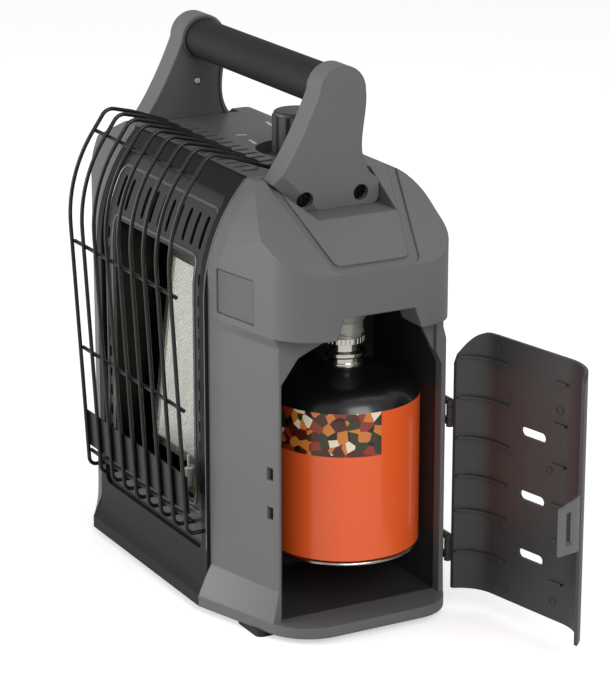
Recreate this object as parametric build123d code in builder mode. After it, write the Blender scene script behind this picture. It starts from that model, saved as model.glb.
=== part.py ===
"""Portable propane heater with a screw-on cartridge behind a hinged side door.

Drawing frame: +X is the cartridge side, -Y the radiant front, +Z up; the feet stand on Z = 0.
Finished pieces are written with the sole of the front foot on the cartridge side at the origin.
All sizes are millimetres.
"""
import os
from math import asin, atan2, cos, hypot, pi, radians, sin, sqrt

from build123d import *

os.makedirs("parts", exist_ok=True)

# ---------------------------------------------------------------- driving dimensions
foot_height = 5.0          # rubber feet below the base lip
foot_w, foot_d, foot_r = 34.0, 16.0, 5.0
foot_xs, foot_ys = (111.0, -118.0), (-57.0, 61.0)
side_x = 161.0             # gas side plane, and its mirror on the control side
rear_y = 81.0              # back plane
top_z = 318.0              # top panel surface
wall = 3.0                 # moulded wall
column_wall = 3.5          # wall round the bay, below the brow
sheet = 1.2                # steel sheet
seat_gap = 0.3             # clearance between pieces that only lie beside each other
touch_gap = 0.05           # between pieces that bear on each other along a curve
past = 400.0               # cutting shapes run this far past the solid

cover_width = 181.0        # dark front cover
cover_mid_x = -24.5        # its centre line, which the burner, guard and handle share
cover_front_y = -73.5      # its upright face
plinth_y = -81.0           # kicked-out toe of the plinth
lip_top_z = 13.0           # top of the base lip
lip_out = 1.0              # lip proud of the side planes
plinth_top_z = 36.0        # where the plinth flare meets the upright face
bend_start_z = 232.0       # where the front starts to curve back
top_front_y = -39.0        # front edge of the top panel
rear_top_r = 20.0          # rounding along the back top edge

gas_corner_r = 38.5        # front corner of the gas side in plan
gas_corner_y = -21.5       # where that corner runs out into the side plane
side_front_y = -71.0       # front of the moulded side shells
control_corner_r = 30.0    # front corner of the control side
control_corner_y = -36.0
rear_corner_r = 31.0       # rear corners in plan
gas_shoulder_z = 268.0     # foot of the sloped shoulder on the gas side
shoulder_run = 82.0        # its horizontal run up to the top panel
shoulder_rise = 50.0
control_shoulder_run = 28.0

door_thickness = 2.6
door_gap = 0.9             # round the closed door
door_bottom_z = 17.0
door_top_z = 211.0
door_latch_x = 138.5       # free edge of the door's wrapped strip, closed
door_open_angle = 101.0    # the door stands open at rest
brow_z = 222.0             # lower edge of the brow over the door
arch_top_z = 237.0         # finger arch above the door
arch_y = (-15.0, 41.0)
arch_splay = (5.0, 6.0)    # the arch widens by this much down to the brow's edge
opening_plane_x = 138.0    # face of the flange behind the door
flange = 4.0
hinge_axis = (143.9, 81.0)
hinge_r = 2.6
hinge_pin_r = 1.4
pin_clearance = 0.06
hinge_heights = (47.0, 149.0)
hinge_length = 20.0
hinge_knuckle = 9.4        # the door's own knuckle, between two of the body's

cartridge_x = 100.0
cartridge_y = 19.0
cartridge_r = 54.5
cartridge_bottom_z = 50.0
cartridge_label_h = 113.0
cartridge_dome_h = 22.0
cartridge_wall = 0.5
cup_r, cup_h = 13.8, 5.0   # raised cup in the middle of the dome
neck_r = 5.5
neck_h = 8.0

arm_stand = 6.5            # from the cover's side edge to the inner face of each arm
arm_cover_t = 4.5
arm_t = 16.0
arm_foot_z = 295.0         # floor of the pocket the arm stands in
arm_foot_y = (-9.5, 51.0)
arm_flare_y = -31.0        # front tip of the flared foot
arm_flare_z = 316.0
grip_y = 22.0
grip_z = 377.0
grip_r = 15.0
arm_head_r = 18.0
arm_head_rise = 0.5        # centre of the round head above the grip's axis

guard_wire_r = 1.5
guard_wires_n = 9
guard_pitch = 20.9
guard_top_y = -16.0
guard_foot = (-86.0, 59.0)                # (Y, Z) where the wires turn back to the body
guard_bow = (-99.0, 288.0)                # corner of the large bow at the front
guard_crown = (-65.5, 336.0)              # corner of the tight bend over the top
guard_rise = (-45.0, 331.0)               # corner where the wires fall away to the top panel
guard_bends = (3.0, 40.0, 9.0, 108.0, 6.0)

knob_x = 5.0
knob_y = 33.0
knob_r = 18.0
knob_h = 30.0
knob_well_r = 30.0
knob_well_depth = 9.0
knob_travel = 5.0
knob_rest_gap = 2.0        # left under the knob when it is pressed home

plaque_w = 100.0
plaque_h = 146.0
plaque_t = 13.0
plaque_mid_z = 158.0
plaque_front_y = -37.5     # at mid height
plaque_lean = 7.0          # degrees, top leaning back

# ---------------------------------------------------------------- derived places
cover_right = cover_mid_x + cover_width / 2
cover_left = cover_mid_x - cover_width / 2
front_bend_r = ((top_front_y - cover_front_y) ** 2 + (top_z - bend_start_z) ** 2) / (
    2 * (top_front_y - cover_front_y))
bend = sqrt(0.5)           # sine and cosine of half a right angle
shoulder_slope = shoulder_rise / shoulder_run
arm_inner_x = cover_right + arm_stand
arm_outer_x = arm_inner_x + arm_cover_t + arm_t


def export(builder, label):
    """Set a finished piece in the row frame, label it and write its STEP file."""
    piece = Pos(-foot_xs[0], -foot_ys[0], 0) * builder.part
    piece.label = label
    export_step(piece, f"parts/{label}.step")


def side_plan(z, inner_x, outer_x, front_y, corner_r, corner_y, inset=0.0, grow=0.0):
    """Plan outline of one side shell at height z, drawn for the +X side.

    inset moves the whole outline inwards, grow pushes only the side plane outwards.
    """
    r = corner_r - inset + grow
    cx = outer_x - corner_r
    cy = corner_y
    start = (inner_x, front_y + inset)
    dx, dy = cx - start[0], cy - start[1]
    reach = hypot(dx, dy)
    heading = atan2(dy, dx) - asin(r / reach)
    run = sqrt(reach ** 2 - r ** 2)
    touch = (start[0] + run * cos(heading), start[1] + run * sin(heading))
    first = heading - pi / 2
    middle = (cx + r * cos(first / 2), cy + r * sin(first / 2))
    rear_r = rear_corner_r - inset + grow
    rear = rear_y - inset
    with BuildSketch(Plane.XY.offset(z)) as plan:
        with BuildLine():
            Line(start, touch)
            ThreePointArc(touch, middle, (cx + r, cy))
            Line((cx + r, cy), (cx + r, rear - rear_r))
            ThreePointArc((cx + r, rear - rear_r),
                          (cx + r - rear_r * (1 - bend), rear - rear_r * (1 - bend)),
                          (cx + r - rear_r, rear))
            Line((cx + r - rear_r, rear), (inner_x, rear))
            Line((inner_x, rear), start)
        make_face()
    return plan.sketch


def height_profile(x, inset=0.0, floor_z=foot_height):
    """Front-to-back profile of the body, as a region on the YZ plane at x."""
    r = front_bend_r - inset
    cy = cover_front_y + front_bend_r
    top = top_z - inset
    front_top_y = cy - sqrt(r ** 2 - (top - bend_start_z) ** 2)
    sweep = asin((top - bend_start_z) / r)
    rear = rear_y - inset
    rr = rear_top_r - inset
    with BuildSketch(Plane.YZ.offset(x)) as profile:
        with BuildLine():
            Line((-past, floor_z), (-past, bend_start_z))
            Line((-past, bend_start_z), (cy - r, bend_start_z))
            ThreePointArc((cy - r, bend_start_z),
                          (cy - r * cos(sweep / 2), bend_start_z + r * sin(sweep / 2)),
                          (front_top_y, top))
            Line((front_top_y, top), (rear - rr, top))
            ThreePointArc((rear - rr, top), (rear - rr * (1 - bend), top - rr * (1 - bend)),
                          (rear, top - rr))
            Line((rear, top - rr), (rear, floor_z))
            Line((rear, floor_z), (-past, floor_z))
        make_face()
    return profile.sketch


def shoulder_wedge(foot_z, run, inset=0.0):
    """Region above the sloped shoulder, on the XZ plane behind the body, drawn for the +X side."""
    drop = inset * hypot(1, shoulder_slope)
    top_x, top = side_x - run, foot_z - drop + shoulder_slope * run
    with BuildSketch(Plane.XZ.offset(-past)) as wedge:
        with BuildLine():
            Polyline((side_x + past, foot_z - drop - shoulder_slope * past), (top_x, top),
                     (top_x - past, top + shoulder_slope * past),
                     (side_x + past, top + shoulder_slope * past), close=True)
        make_face()
    return wedge.sketch


gas = dict(inner_x=cover_right, outer_x=side_x, front_y=side_front_y,
           corner_r=gas_corner_r, corner_y=gas_corner_y)
control = dict(inner_x=-cover_left, outer_x=side_x, front_y=side_front_y,
               corner_r=control_corner_r, corner_y=control_corner_y)
column = door_thickness + door_gap        # how far the column lies behind the brow
control_shoulder_z = top_z - shoulder_slope * control_shoulder_run

# ---------------------------------------------------------------- hollow of the gas side shell
# tall core up to the flange, and the brow's own hollow above the arch
flange_x = opening_plane_x - flange
with BuildPart() as gas_core:
    extrude(side_plan(0, inset=column_wall, grow=-column, **gas), amount=arch_top_z + wall)
    with BuildSketch(Plane.YZ.offset(flange_x)):
        Rectangle(past, 2 * past)
    extrude(amount=past, mode=Mode.SUBTRACT)
    extrude(side_plan(arch_top_z + wall, inset=wall, **gas), amount=top_z - arch_top_z)
    extrude(height_profile(0, inset=wall, floor_z=-1), amount=past, mode=Mode.INTERSECT)
    extrude(shoulder_wedge(gas_shoulder_z, shoulder_run, inset=wall), amount=2 * past,
            mode=Mode.SUBTRACT)

# ---------------------------------------------------------------- handle arm outline
pocket_clear = 0.6
pocket_over = 20.0                        # the pocket's cutter stands this far above the flare
arm_corner_r = 6.0
shank_front = [(-36.0, -36.0), (-24.5, -14.0)]    # from the grip's axis, up the front edge
shank_rear = [(16.0, -27.0), (16.5, -49.0)]       # and down the rear edge
arm_heel = (8.0, 3.0)                     # rounding where the rear edge meets the foot


def arm_outline(x, inset=0.0):
    """Side view of a handle arm: flared foot, waisted shank, round head."""
    head, head_z = arm_head_r - inset, grip_z + arm_head_rise
    foot_front, foot_rear = arm_foot_y[0] + inset, arm_foot_y[1] - inset
    foot = arm_foot_z + inset
    heel_z = arm_flare_z - inset
    with BuildSketch(Plane.YZ.offset(x)) as outline:
        with BuildLine():
            Spline((arm_flare_y + inset, arm_flare_z),
                   *[(grip_y + y + inset, grip_z + z) for y, z in shank_front],
                   (grip_y - head, head_z))
            ThreePointArc((grip_y - head, head_z), (grip_y, head_z + head), (grip_y + head, head_z))
            Spline((grip_y + head, head_z),
                   *[(grip_y + y - inset, grip_z + z) for y, z in shank_rear],
                   (foot_rear - arm_heel[0], heel_z + arm_heel[1]), (foot_rear, heel_z - arm_heel[1]))
            Line((foot_rear, heel_z - arm_heel[1]), (foot_rear, foot))
            Line((foot_rear, foot), (foot_front, foot))
            Line((foot_front, foot), (arm_flare_y + inset, arm_flare_z))
        make_face()
        fillet(vertices().sort_by_distance((foot_rear, foot, 0))[0], arm_corner_r - inset)
    return outline.sketch


def foot_pocket(x_from, grow, floor_z=arm_foot_z):
    """Section of the pocket for an arm's foot, grown by grow, at x_from."""
    front, rear = arm_foot_y[0] - grow, arm_foot_y[1] + grow
    over_z = arm_flare_z + pocket_over
    with BuildSketch(Plane.YZ.offset(x_from)) as pocket:
        with BuildLine():
            Polyline((front, floor_z), (rear, floor_z), (rear, over_z),
                     (arm_flare_y - pocket_over - grow, over_z),
                     (arm_flare_y - grow, arm_flare_z), close=True)
        make_face()
    return pocket.sketch


# ---------------------------------------------------------------- gas side shell
rear_lip_gap, rear_lip_y = 1.4, 70.0      # the rear edge of the opening runs on up to the hinge
latch_slot = (6.0, 20.0, 9.0)             # along X, through the wall along Y, height
latch_slot_xy = (129.5, -60.0)
latch_heights = (93.0, 122.0)
notch_depth, notch_spread = 7.0, (32.0, 3.0, 22.0)    # below, at and above the brow's edge
mouth_outline = [(-51.5, lip_top_z), (74.5, lip_top_z), (74.5, 186.0), (60.0, 216.0), (55.0, brow_z),
                 (-19.0, brow_z), (-19.0, 214.0), (-38.0, 206.0), (-51.5, 188.0)]
patch_w, patch_h, patch_depth, patch_r = 42.0, 32.0, 1.5, 1.5
patch_x, patch_z = 97.0, 243.0
lip = {**gas, "front_y": plinth_y}

with BuildPart() as gas_outer:
    # base lip, flare, column, flared underside of the brow, brow and shoulder
    extrude(side_plan(foot_height, grow=lip_out, **lip), amount=lip_top_z - foot_height)
    add(side_plan(lip_top_z, grow=lip_out, **lip))
    add(side_plan(plinth_top_z, grow=-column, **gas))
    loft(ruled=True)
    extrude(side_plan(plinth_top_z, grow=-column, **gas), amount=brow_z - plinth_top_z)
    add(side_plan(brow_z - 2 * column, grow=-column, **gas))
    add(side_plan(brow_z, **gas))
    loft(ruled=True)
    extrude(side_plan(brow_z, **gas), amount=top_z - brow_z)
    extrude(height_profile(0), amount=past, mode=Mode.INTERSECT)
    extrude(shoulder_wedge(gas_shoulder_z, shoulder_run), amount=2 * past, mode=Mode.SUBTRACT)
with BuildPart() as gas_tub:
    extrude(foot_pocket(cover_right, pocket_clear + wall, arm_foot_z - wall), amount=past)
    add(gas_outer.part, mode=Mode.INTERSECT)

# groove round the raised panel on the sloped shoulder
slope_length = hypot(1, shoulder_slope)
slope_face = Plane(origin=(side_x, 0, gas_shoulder_z), x_dir=(0, 1, 0),
                   z_dir=(shoulder_slope / slope_length, 0, 1 / slope_length))
groove_depth = 1.6
groove_outer = [(-33.0, 76.0), (-20.5, 159.5), (46.0, 159.5), (73.0, 76.0)]     # (Y, X) corners
groove_inner = [(-27.5, 76.0), (-17.0, 154.0), (40.0, 154.0), (66.5, 76.0)]
groove_rs = (9.0, 6.0)
with BuildPart() as gas_groove:
    for loop, corner_r, mode in ((groove_outer, groove_rs[0], Mode.ADD),
                                 (groove_inner, groove_rs[1], Mode.SUBTRACT)):
        with BuildSketch(slope_face):
            with BuildLine():
                Polyline(*[(y, (side_x - x) * slope_length) for y, x in loop], close=True)
            make_face()
            fillet(vertices().group_by(Axis.Y)[0], corner_r)
        extrude(amount=-groove_depth, mode=mode)

# flat of the front, between the cover and the rounded corner, that carries the blank recess
flat_x, flat_y = side_x - gas_corner_r - cover_right, gas_corner_y - side_front_y
flat_turn = atan2(flat_y, flat_x) - asin(gas_corner_r / hypot(flat_x, flat_y))
flat_plane = Plane(origin=(patch_x, side_front_y + (patch_x - cover_right) * sin(flat_turn)
                           / cos(flat_turn), patch_z),
                   x_dir=(cos(flat_turn), sin(flat_turn), 0),
                   z_dir=(sin(flat_turn), -cos(flat_turn), 0))

with BuildPart() as gas_housing:
    add(gas_outer.part)
    add(gas_core.part, mode=Mode.SUBTRACT)
    add(gas_tub.part)
    extrude(foot_pocket(arm_inner_x - pocket_clear, pocket_clear), amount=past, mode=Mode.SUBTRACT)
    add(gas_groove.part, mode=Mode.SUBTRACT)

    # seat of the closed door, with the rear edge standing further out beside the hinge
    with BuildSketch(Plane.XY.offset(lip_top_z)):
        with BuildLine():
            Polyline((opening_plane_x, -past), (past, -past), (past, past),
                     (hinge_axis[0] - rear_lip_gap, past), (hinge_axis[0] - rear_lip_gap, rear_lip_y),
                     (opening_plane_x, rear_lip_y), close=True)
        make_face()
    extrude(amount=brow_z - lip_top_z, mode=Mode.SUBTRACT)

    # finger notch in the rear edge, where the door's hinge-side corner is cut away
    with BuildSketch(Plane.YZ.offset(flange_x)):
        with BuildLine():
            Polyline((rear_y + 1, brow_z + notch_spread[2]),
                     (rear_y - notch_depth, brow_z - notch_spread[1]),
                     (rear_y + 1, brow_z - notch_spread[0]), close=True)
        make_face()
    extrude(amount=past, mode=Mode.SUBTRACT)

    # mouth of the cartridge bay through the flange
    with BuildSketch(Plane.YZ.offset(flange_x - flange)):
        with BuildLine():
            Polyline(*mouth_outline, close=True)
        make_face()
    extrude(amount=5 * flange, mode=Mode.SUBTRACT)

    # finger arch in the brow
    with BuildSketch(Plane.YZ.offset(flange_x - flange)):
        with BuildLine():
            Polyline((arch_y[0] - arch_splay[0], brow_z - 1), (arch_y[0], arch_top_z),
                     (arch_y[1], arch_top_z), (arch_y[1] + arch_splay[1], brow_z - 1), close=True)
        make_face()
    extrude(amount=past, mode=Mode.SUBTRACT)

    # latch slots
    with Locations(*[(*latch_slot_xy, z) for z in latch_heights]):
        Box(*latch_slot, mode=Mode.SUBTRACT)

    # shallow blank recess on the front
    with BuildSketch(flat_plane):
        RectangleRounded(patch_w, patch_h, patch_r)
    extrude(amount=-patch_depth, mode=Mode.SUBTRACT)
export(gas_housing, "gas_housing")

# ---------------------------------------------------------------- control side shell
with BuildPart() as control_core:
    extrude(side_plan(0, inset=wall, **control), amount=top_z)
    extrude(height_profile(0, inset=wall, floor_z=-1), amount=past, mode=Mode.INTERSECT)
    extrude(shoulder_wedge(control_shoulder_z, control_shoulder_run, inset=wall), amount=2 * past,
            mode=Mode.SUBTRACT)

arm_mirror = Plane.YZ.offset(cover_mid_x)
far_arm_inner, far_arm_outer = arm_inner_x - 2 * cover_mid_x, arm_outer_x - 2 * cover_mid_x
control_lip = {**control, "front_y": plinth_y}
with BuildPart() as control_outer:
    extrude(side_plan(foot_height, grow=lip_out, **control_lip), amount=lip_top_z - foot_height)
    add(side_plan(lip_top_z, grow=lip_out, **control_lip))
    add(side_plan(plinth_top_z, **control))
    loft(ruled=True)
    extrude(side_plan(plinth_top_z, **control), amount=top_z - plinth_top_z)
    extrude(height_profile(0), amount=past, mode=Mode.INTERSECT)
    extrude(shoulder_wedge(control_shoulder_z, control_shoulder_run), amount=2 * past,
            mode=Mode.SUBTRACT)
with BuildPart() as control_tub:
    extrude(foot_pocket(-cover_left, pocket_clear + wall, arm_foot_z - wall),
            amount=far_arm_outer + pocket_clear + wall + cover_left)
    add(control_outer.part, mode=Mode.INTERSECT)
with BuildPart() as control_shell:
    add(control_outer.part)
    add(control_core.part, mode=Mode.SUBTRACT)
    add(control_tub.part)
    extrude(foot_pocket(far_arm_inner - pocket_clear, pocket_clear),
            amount=far_arm_outer - far_arm_inner + 2 * pocket_clear, mode=Mode.SUBTRACT)
with BuildPart() as control_side_housing:
    mirror(control_shell.part, about=Plane.YZ)
export(control_side_housing, "control_side_housing")

# ---------------------------------------------------------------- front cover
flare_foot_z = lip_top_z + 1
flare_r = ((cover_front_y - plinth_y) ** 2 + (plinth_top_z - flare_foot_z) ** 2) / (
    2 * (cover_front_y - plinth_y))
flare_x = cover_front_y - flare_r
flare_sweep = asin((plinth_top_z - flare_foot_z) / flare_r)


def front_line(inset):
    """Front skin from the base lip to the top panel, inset from the outer surface."""
    r_flare, r_bend = flare_r + inset, front_bend_r - inset
    bend_y = cover_front_y + front_bend_r
    sweep = asin((top_z - bend_start_z) / front_bend_r)
    foot = (flare_x + r_flare * cos(flare_sweep), plinth_top_z - r_flare * sin(flare_sweep))
    end = (bend_y - r_bend * cos(sweep), bend_start_z + r_bend * sin(sweep))
    return [foot,
            (flare_x + r_flare * cos(flare_sweep / 2), plinth_top_z - r_flare * sin(flare_sweep / 2)),
            (cover_front_y + inset, plinth_top_z),
            (cover_front_y + inset, bend_start_z),
            (bend_y - r_bend * cos(sweep / 2), bend_start_z + r_bend * sin(sweep / 2)),
            end]


def front_skin(x, outer, inner, low_z=foot_height, high_z=past):
    """Section of a skin between two insets from the front surface, on the YZ plane at x."""
    a, b = front_line(outer), front_line(inner)
    with BuildSketch(Plane.YZ.offset(x)) as skin:
        with BuildLine():
            Line((a[0][0], foot_height), a[0])
            ThreePointArc(a[0], a[1], a[2])
            Line(a[2], a[3])
            ThreePointArc(a[3], a[4], a[5])
            Line(a[5], b[5])
            ThreePointArc(b[5], b[4], b[3])
            Line(b[3], b[2])
            ThreePointArc(b[2], b[1], b[0])
            Line(b[0], (b[0][0], foot_height))
            Line((b[0][0], foot_height), (a[0][0], foot_height))
        make_face()
        with Locations((0, (low_z + high_z) / 2)):
            Rectangle(past, high_z - low_z, mode=Mode.INTERSECT)
    return skin.sketch


rim = 9.0                                 # width of the cover's side rims
window_z = (44.0, 304.0)                  # opening of the cover that the metal frame fills
window_r = 6.0
with BuildPart() as front_cover:
    extrude(front_skin(cover_left, 0, wall), amount=cover_width)
    with BuildSketch(Plane.XY.offset(bend_start_z)):
        with Locations((cover_mid_x, top_front_y + past / 2)):
            Rectangle(past, past)
    extrude(amount=top_z, mode=Mode.SUBTRACT)
    with BuildSketch(Plane.XZ.offset(-top_front_y)):
        with Locations((cover_mid_x, sum(window_z) / 2)):
            RectangleRounded(cover_width - 2 * rim, window_z[1] - window_z[0], window_r)
    extrude(amount=past, mode=Mode.SUBTRACT)
export(front_cover, "front_cover")

# slotted sheet-metal frame behind the cover
frame_inset = wall + seat_gap
frame_edge = 2.5                          # frame edge inside the cover's edge
frame_lap = (4.0, 6.0)                    # below and above the cover's window
radiant_w = 130.0
radiant_below, radiant_above = 9.0, 25.0  # the opening reaches this far past the plaque
radiant_z = (plaque_mid_z - plaque_h / 2 - radiant_below, plaque_mid_z + plaque_h / 2 + radiant_above)
top_slots_n, top_slot_pitch, top_slot_w = 11, 13.5, 4.5
top_slot_gap, top_slot_h = 8.0, 23.0
top_slot_mid_z = radiant_z[1] + top_slot_gap + top_slot_h / 2
side_slots_n, side_slot_pitch, side_slot = 11, 15.5, (3.6, 9.0)
side_slot_x = 75.0
with BuildPart() as front_frame:
    extrude(front_skin(cover_left + frame_edge, frame_inset, frame_inset + sheet,
                       window_z[0] - frame_lap[0], window_z[1] + frame_lap[1]),
            amount=cover_width - 2 * frame_edge)
    with BuildSketch(Plane.XZ.offset(-top_front_y)):
        with Locations((cover_mid_x, sum(radiant_z) / 2)):
            RectangleRounded(radiant_w, radiant_z[1] - radiant_z[0], window_r)
        with Locations((cover_mid_x, top_slot_mid_z)):
            with GridLocations(top_slot_pitch, 1, top_slots_n, 1):
                SlotOverall(top_slot_h, top_slot_w, rotation=90)
        for side in (-1, 1):
            with Locations((cover_mid_x + side * side_slot_x, sum(radiant_z) / 2)):
                with GridLocations(1, side_slot_pitch, 1, side_slots_n):
                    SlotOverall(side_slot[1], side_slot[0], rotation=90)
    extrude(amount=past, mode=Mode.SUBTRACT)
export(front_frame, "front_frame")

# ---------------------------------------------------------------- top panel and the knob's well
panel_front_y = top_front_y + seat_gap
panel_edge_z = 296.0
vents_n, vent_pitch, vent_size = 12, 12.6, (4.0, 14.0)
vent_rows = ((-3.0, -5.5), (3.3, -28.0))   # shift along X and Y of each row
wire_hole_clear = 0.15
guard_xs = [cover_mid_x + (i - (guard_wires_n - 1) / 2) * guard_pitch for i in range(guard_wires_n)]
turn_in = rear_y - rear_top_r + (rear_top_r - wall) * bend
with BuildPart() as top_panel:
    with BuildSketch(Plane.YZ.offset(cover_left + seat_gap)):
        with BuildLine():
            Line((panel_front_y, top_z), (rear_y - rear_top_r, top_z))
            ThreePointArc((rear_y - rear_top_r, top_z),
                          (rear_y - rear_top_r * (1 - bend), top_z - rear_top_r * (1 - bend)),
                          (rear_y, top_z - rear_top_r))
            Line((rear_y, top_z - rear_top_r), (rear_y, panel_edge_z))
            Line((rear_y, panel_edge_z), (rear_y - wall, panel_edge_z))
            Line((rear_y - wall, panel_edge_z), (rear_y - wall, top_z - rear_top_r))
            ThreePointArc((rear_y - wall, top_z - rear_top_r), (turn_in, turn_in + top_z - rear_y),
                          (rear_y - rear_top_r, top_z - wall))
            Line((rear_y - rear_top_r, top_z - wall), (panel_front_y, top_z - wall))
            Line((panel_front_y, top_z - wall), (panel_front_y, top_z))
        make_face()
    extrude(amount=cover_width - 2 * seat_gap)
    with BuildSketch(Plane.XY.offset(top_z)):
        with Locations((knob_x, knob_y)):
            Circle(knob_well_r)
        for shift, vent_y in vent_rows:
            with Locations((cover_mid_x + shift, vent_y)):
                with GridLocations(vent_pitch, 1, vents_n, 1):
                    SlotOverall(vent_size[1], vent_size[0], rotation=90)
        with Locations(*[(x, guard_top_y) for x in guard_xs]):
            Circle(guard_wire_r + wire_hole_clear)
    extrude(amount=-2 * wall, mode=Mode.SUBTRACT)
export(top_panel, "top_panel")

knob_floor_z = top_z - knob_well_depth
stem_r, stem_hole_clear = 4.0, 0.6
with BuildPart() as knob_well:
    with BuildSketch(Plane.XY.offset(knob_floor_z - wall)):
        with Locations((knob_x, knob_y)):
            Circle(knob_well_r + wall)
            Circle(stem_r + stem_hole_clear, mode=Mode.SUBTRACT)
    extrude(amount=knob_well_depth)
    with BuildSketch(Plane.XY.offset(knob_floor_z)):
        with Locations((knob_x, knob_y)):
            Circle(knob_well_r)
    extrude(amount=knob_well_depth, mode=Mode.SUBTRACT)
    extrude(height_profile(cover_left, inset=wall + touch_gap), amount=past, mode=Mode.INTERSECT)
export(knob_well, "knob_well")

# ---------------------------------------------------------------- rear panel, base and feet
louvres_n, louvre_pitch, louvre = 9, 11.0, (110.0, 4.5)
louvre_zs = (235.0, 85.0)
rear_panel_top_z = panel_edge_z - seat_gap
with BuildPart() as rear_panel:
    with BuildSketch(Plane.XZ.offset(-rear_y)):
        with Locations((cover_mid_x, (foot_height + rear_panel_top_z) / 2)):
            Rectangle(cover_width - 2 * seat_gap, rear_panel_top_z - foot_height)
        with Locations(*[(cover_mid_x, z) for z in louvre_zs]):
            with GridLocations(1, louvre_pitch, 1, louvres_n):
                SlotOverall(louvre[0], louvre[1], mode=Mode.SUBTRACT)
    extrude(amount=wall)
export(rear_panel, "rear_panel")

pan_z = foot_height + wall                # upper face of the base pan
pan_y = (side_front_y + wall + seat_gap, rear_y - wall - seat_gap)
with BuildPart() as base_pan:
    extrude(side_plan(foot_height, inset=column_wall + seat_gap, grow=-column, **gas), amount=wall)
    with BuildSketch(Plane.YZ.offset(flange_x - seat_gap)):
        Rectangle(past, past)
    extrude(amount=past, mode=Mode.SUBTRACT)
    with BuildSketch(Plane.XY.offset(foot_height)):
        with Locations((cover_mid_x, sum(pan_y) / 2)):
            Rectangle(cover_width, pan_y[1] - pan_y[0])
    extrude(amount=wall)
    mirror(extrude(side_plan(foot_height, inset=wall + seat_gap, **control), amount=wall,
                   mode=Mode.PRIVATE), about=Plane.YZ)
export(base_pan, "base_pan")

with BuildPart() as feet:
    with BuildSketch():
        with Locations(*[(x, y) for x in foot_xs for y in foot_ys]):
            RectangleRounded(foot_w, foot_d, foot_r)
    extrude(amount=foot_height)
export(feet, "feet")

# ---------------------------------------------------------------- carrying handle
arm_bevel = (9.0, 4.5)                    # across the front flank and across the outer face
bevel_edge_min = 30.0                     # the bevelled edge is the only long one at the front
arm_rim = 2.2
arm_cover_sink = 1.2                      # cover plate below the arm's rim
arm_screw_r, arm_screw_depth = 5.8, 7.0
arm_screw_head = 3.0
arm_screws_yz = [(-7.5, 303.5), (36.5, 304.0)]
cover_screw_yz = (17.0, 345.0)
cover_screw_r, cover_screw_h, cover_screw_clear = 2.6, 1.6, 0.4
collar_w, collar_rise = 2.2, 0.9          # raised ring of the cover plate round the grip's end
rod_r, rod_bite = 5.0, 10.0               # the grip's rod and its hold in each arm
rod_slack = 2.0                           # socket deeper than the rod reaches
plate_x = arm_inner_x + arm_cover_sink
with BuildPart() as arm_gas:
    extrude(arm_outline(arm_inner_x), amount=arm_t + arm_cover_t)
    extrude(arm_outline(arm_inner_x, inset=arm_rim), amount=arm_cover_t, mode=Mode.SUBTRACT)
    flank = faces().sort_by(Axis.X)[-1].edges().filter_by(
        lambda e: e.length > bevel_edge_min).sort_by(Axis.Y)[0]
    chamfer(flank, *arm_bevel)
    with Locations(*[Location((arm_outer_x, y, z), (0, 90, 0)) for y, z in arm_screws_yz]):
        Hole(arm_screw_r, depth=arm_screw_depth)
    with Locations(Location((arm_inner_x + arm_cover_t, grip_y, grip_z), (0, -90, 0))):
        Hole(rod_r + seat_gap, depth=rod_bite + rod_slack)
export(arm_gas, "arm_gas")
with BuildPart() as arm_control:
    mirror(arm_gas.part, about=arm_mirror)
export(arm_control, "arm_control")

with BuildPart() as grip_collar:
    with BuildSketch(Plane.YZ.offset(plate_x - collar_rise)):
        with Locations((grip_y, grip_z)):
            Circle(grip_r + collar_w)
            Circle(grip_r + seat_gap, mode=Mode.SUBTRACT)
    extrude(amount=collar_rise)
    extrude(arm_outline(arm_inner_x, inset=arm_rim + seat_gap), amount=arm_cover_t,
            mode=Mode.INTERSECT)
with BuildPart() as arm_cover_gas:
    extrude(arm_outline(plate_x, inset=arm_rim + seat_gap), amount=arm_cover_t - arm_cover_sink)
    add(grip_collar.part)
    with Locations(Location((arm_inner_x + arm_cover_t, grip_y, grip_z), (0, 90, 0))):
        Hole(rod_r + seat_gap, depth=2 * arm_cover_t)
    with Locations(Location((plate_x, *cover_screw_yz), (0, -90, 0))):
        Hole(cover_screw_r + cover_screw_clear, depth=cover_screw_h + touch_gap)
export(arm_cover_gas, "arm_cover_gas")
with BuildPart() as arm_cover_control:
    mirror(arm_cover_gas.part, about=arm_mirror)
export(arm_cover_control, "arm_cover_control")

grip_end_x = plate_x - seat_gap           # each end stands just off its cover plate
grip_length = 2 * (grip_end_x - cover_mid_x)
grip_edge_r, grip_bore_clear = 1.0, 0.2
with BuildPart() as grip:
    with BuildSketch(Plane.YZ.offset(grip_end_x - grip_length)):
        with Locations((grip_y, grip_z)):
            Circle(grip_r)
            Circle(rod_r + grip_bore_clear, mode=Mode.SUBTRACT)
    extrude(amount=grip_length)
    fillet(edges().filter_by(GeomType.CIRCLE).filter_by(lambda e: e.radius > rod_r + 1), grip_edge_r)
export(grip, "grip")
rod_end_x = arm_inner_x + arm_cover_t + rod_bite
with BuildPart() as grip_rod:
    with BuildSketch(Plane.YZ.offset(2 * cover_mid_x - rod_end_x)):
        with Locations((grip_y, grip_z)):
            Circle(rod_r)
    extrude(amount=2 * (rod_end_x - cover_mid_x))
export(grip_rod, "grip_rod")


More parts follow.
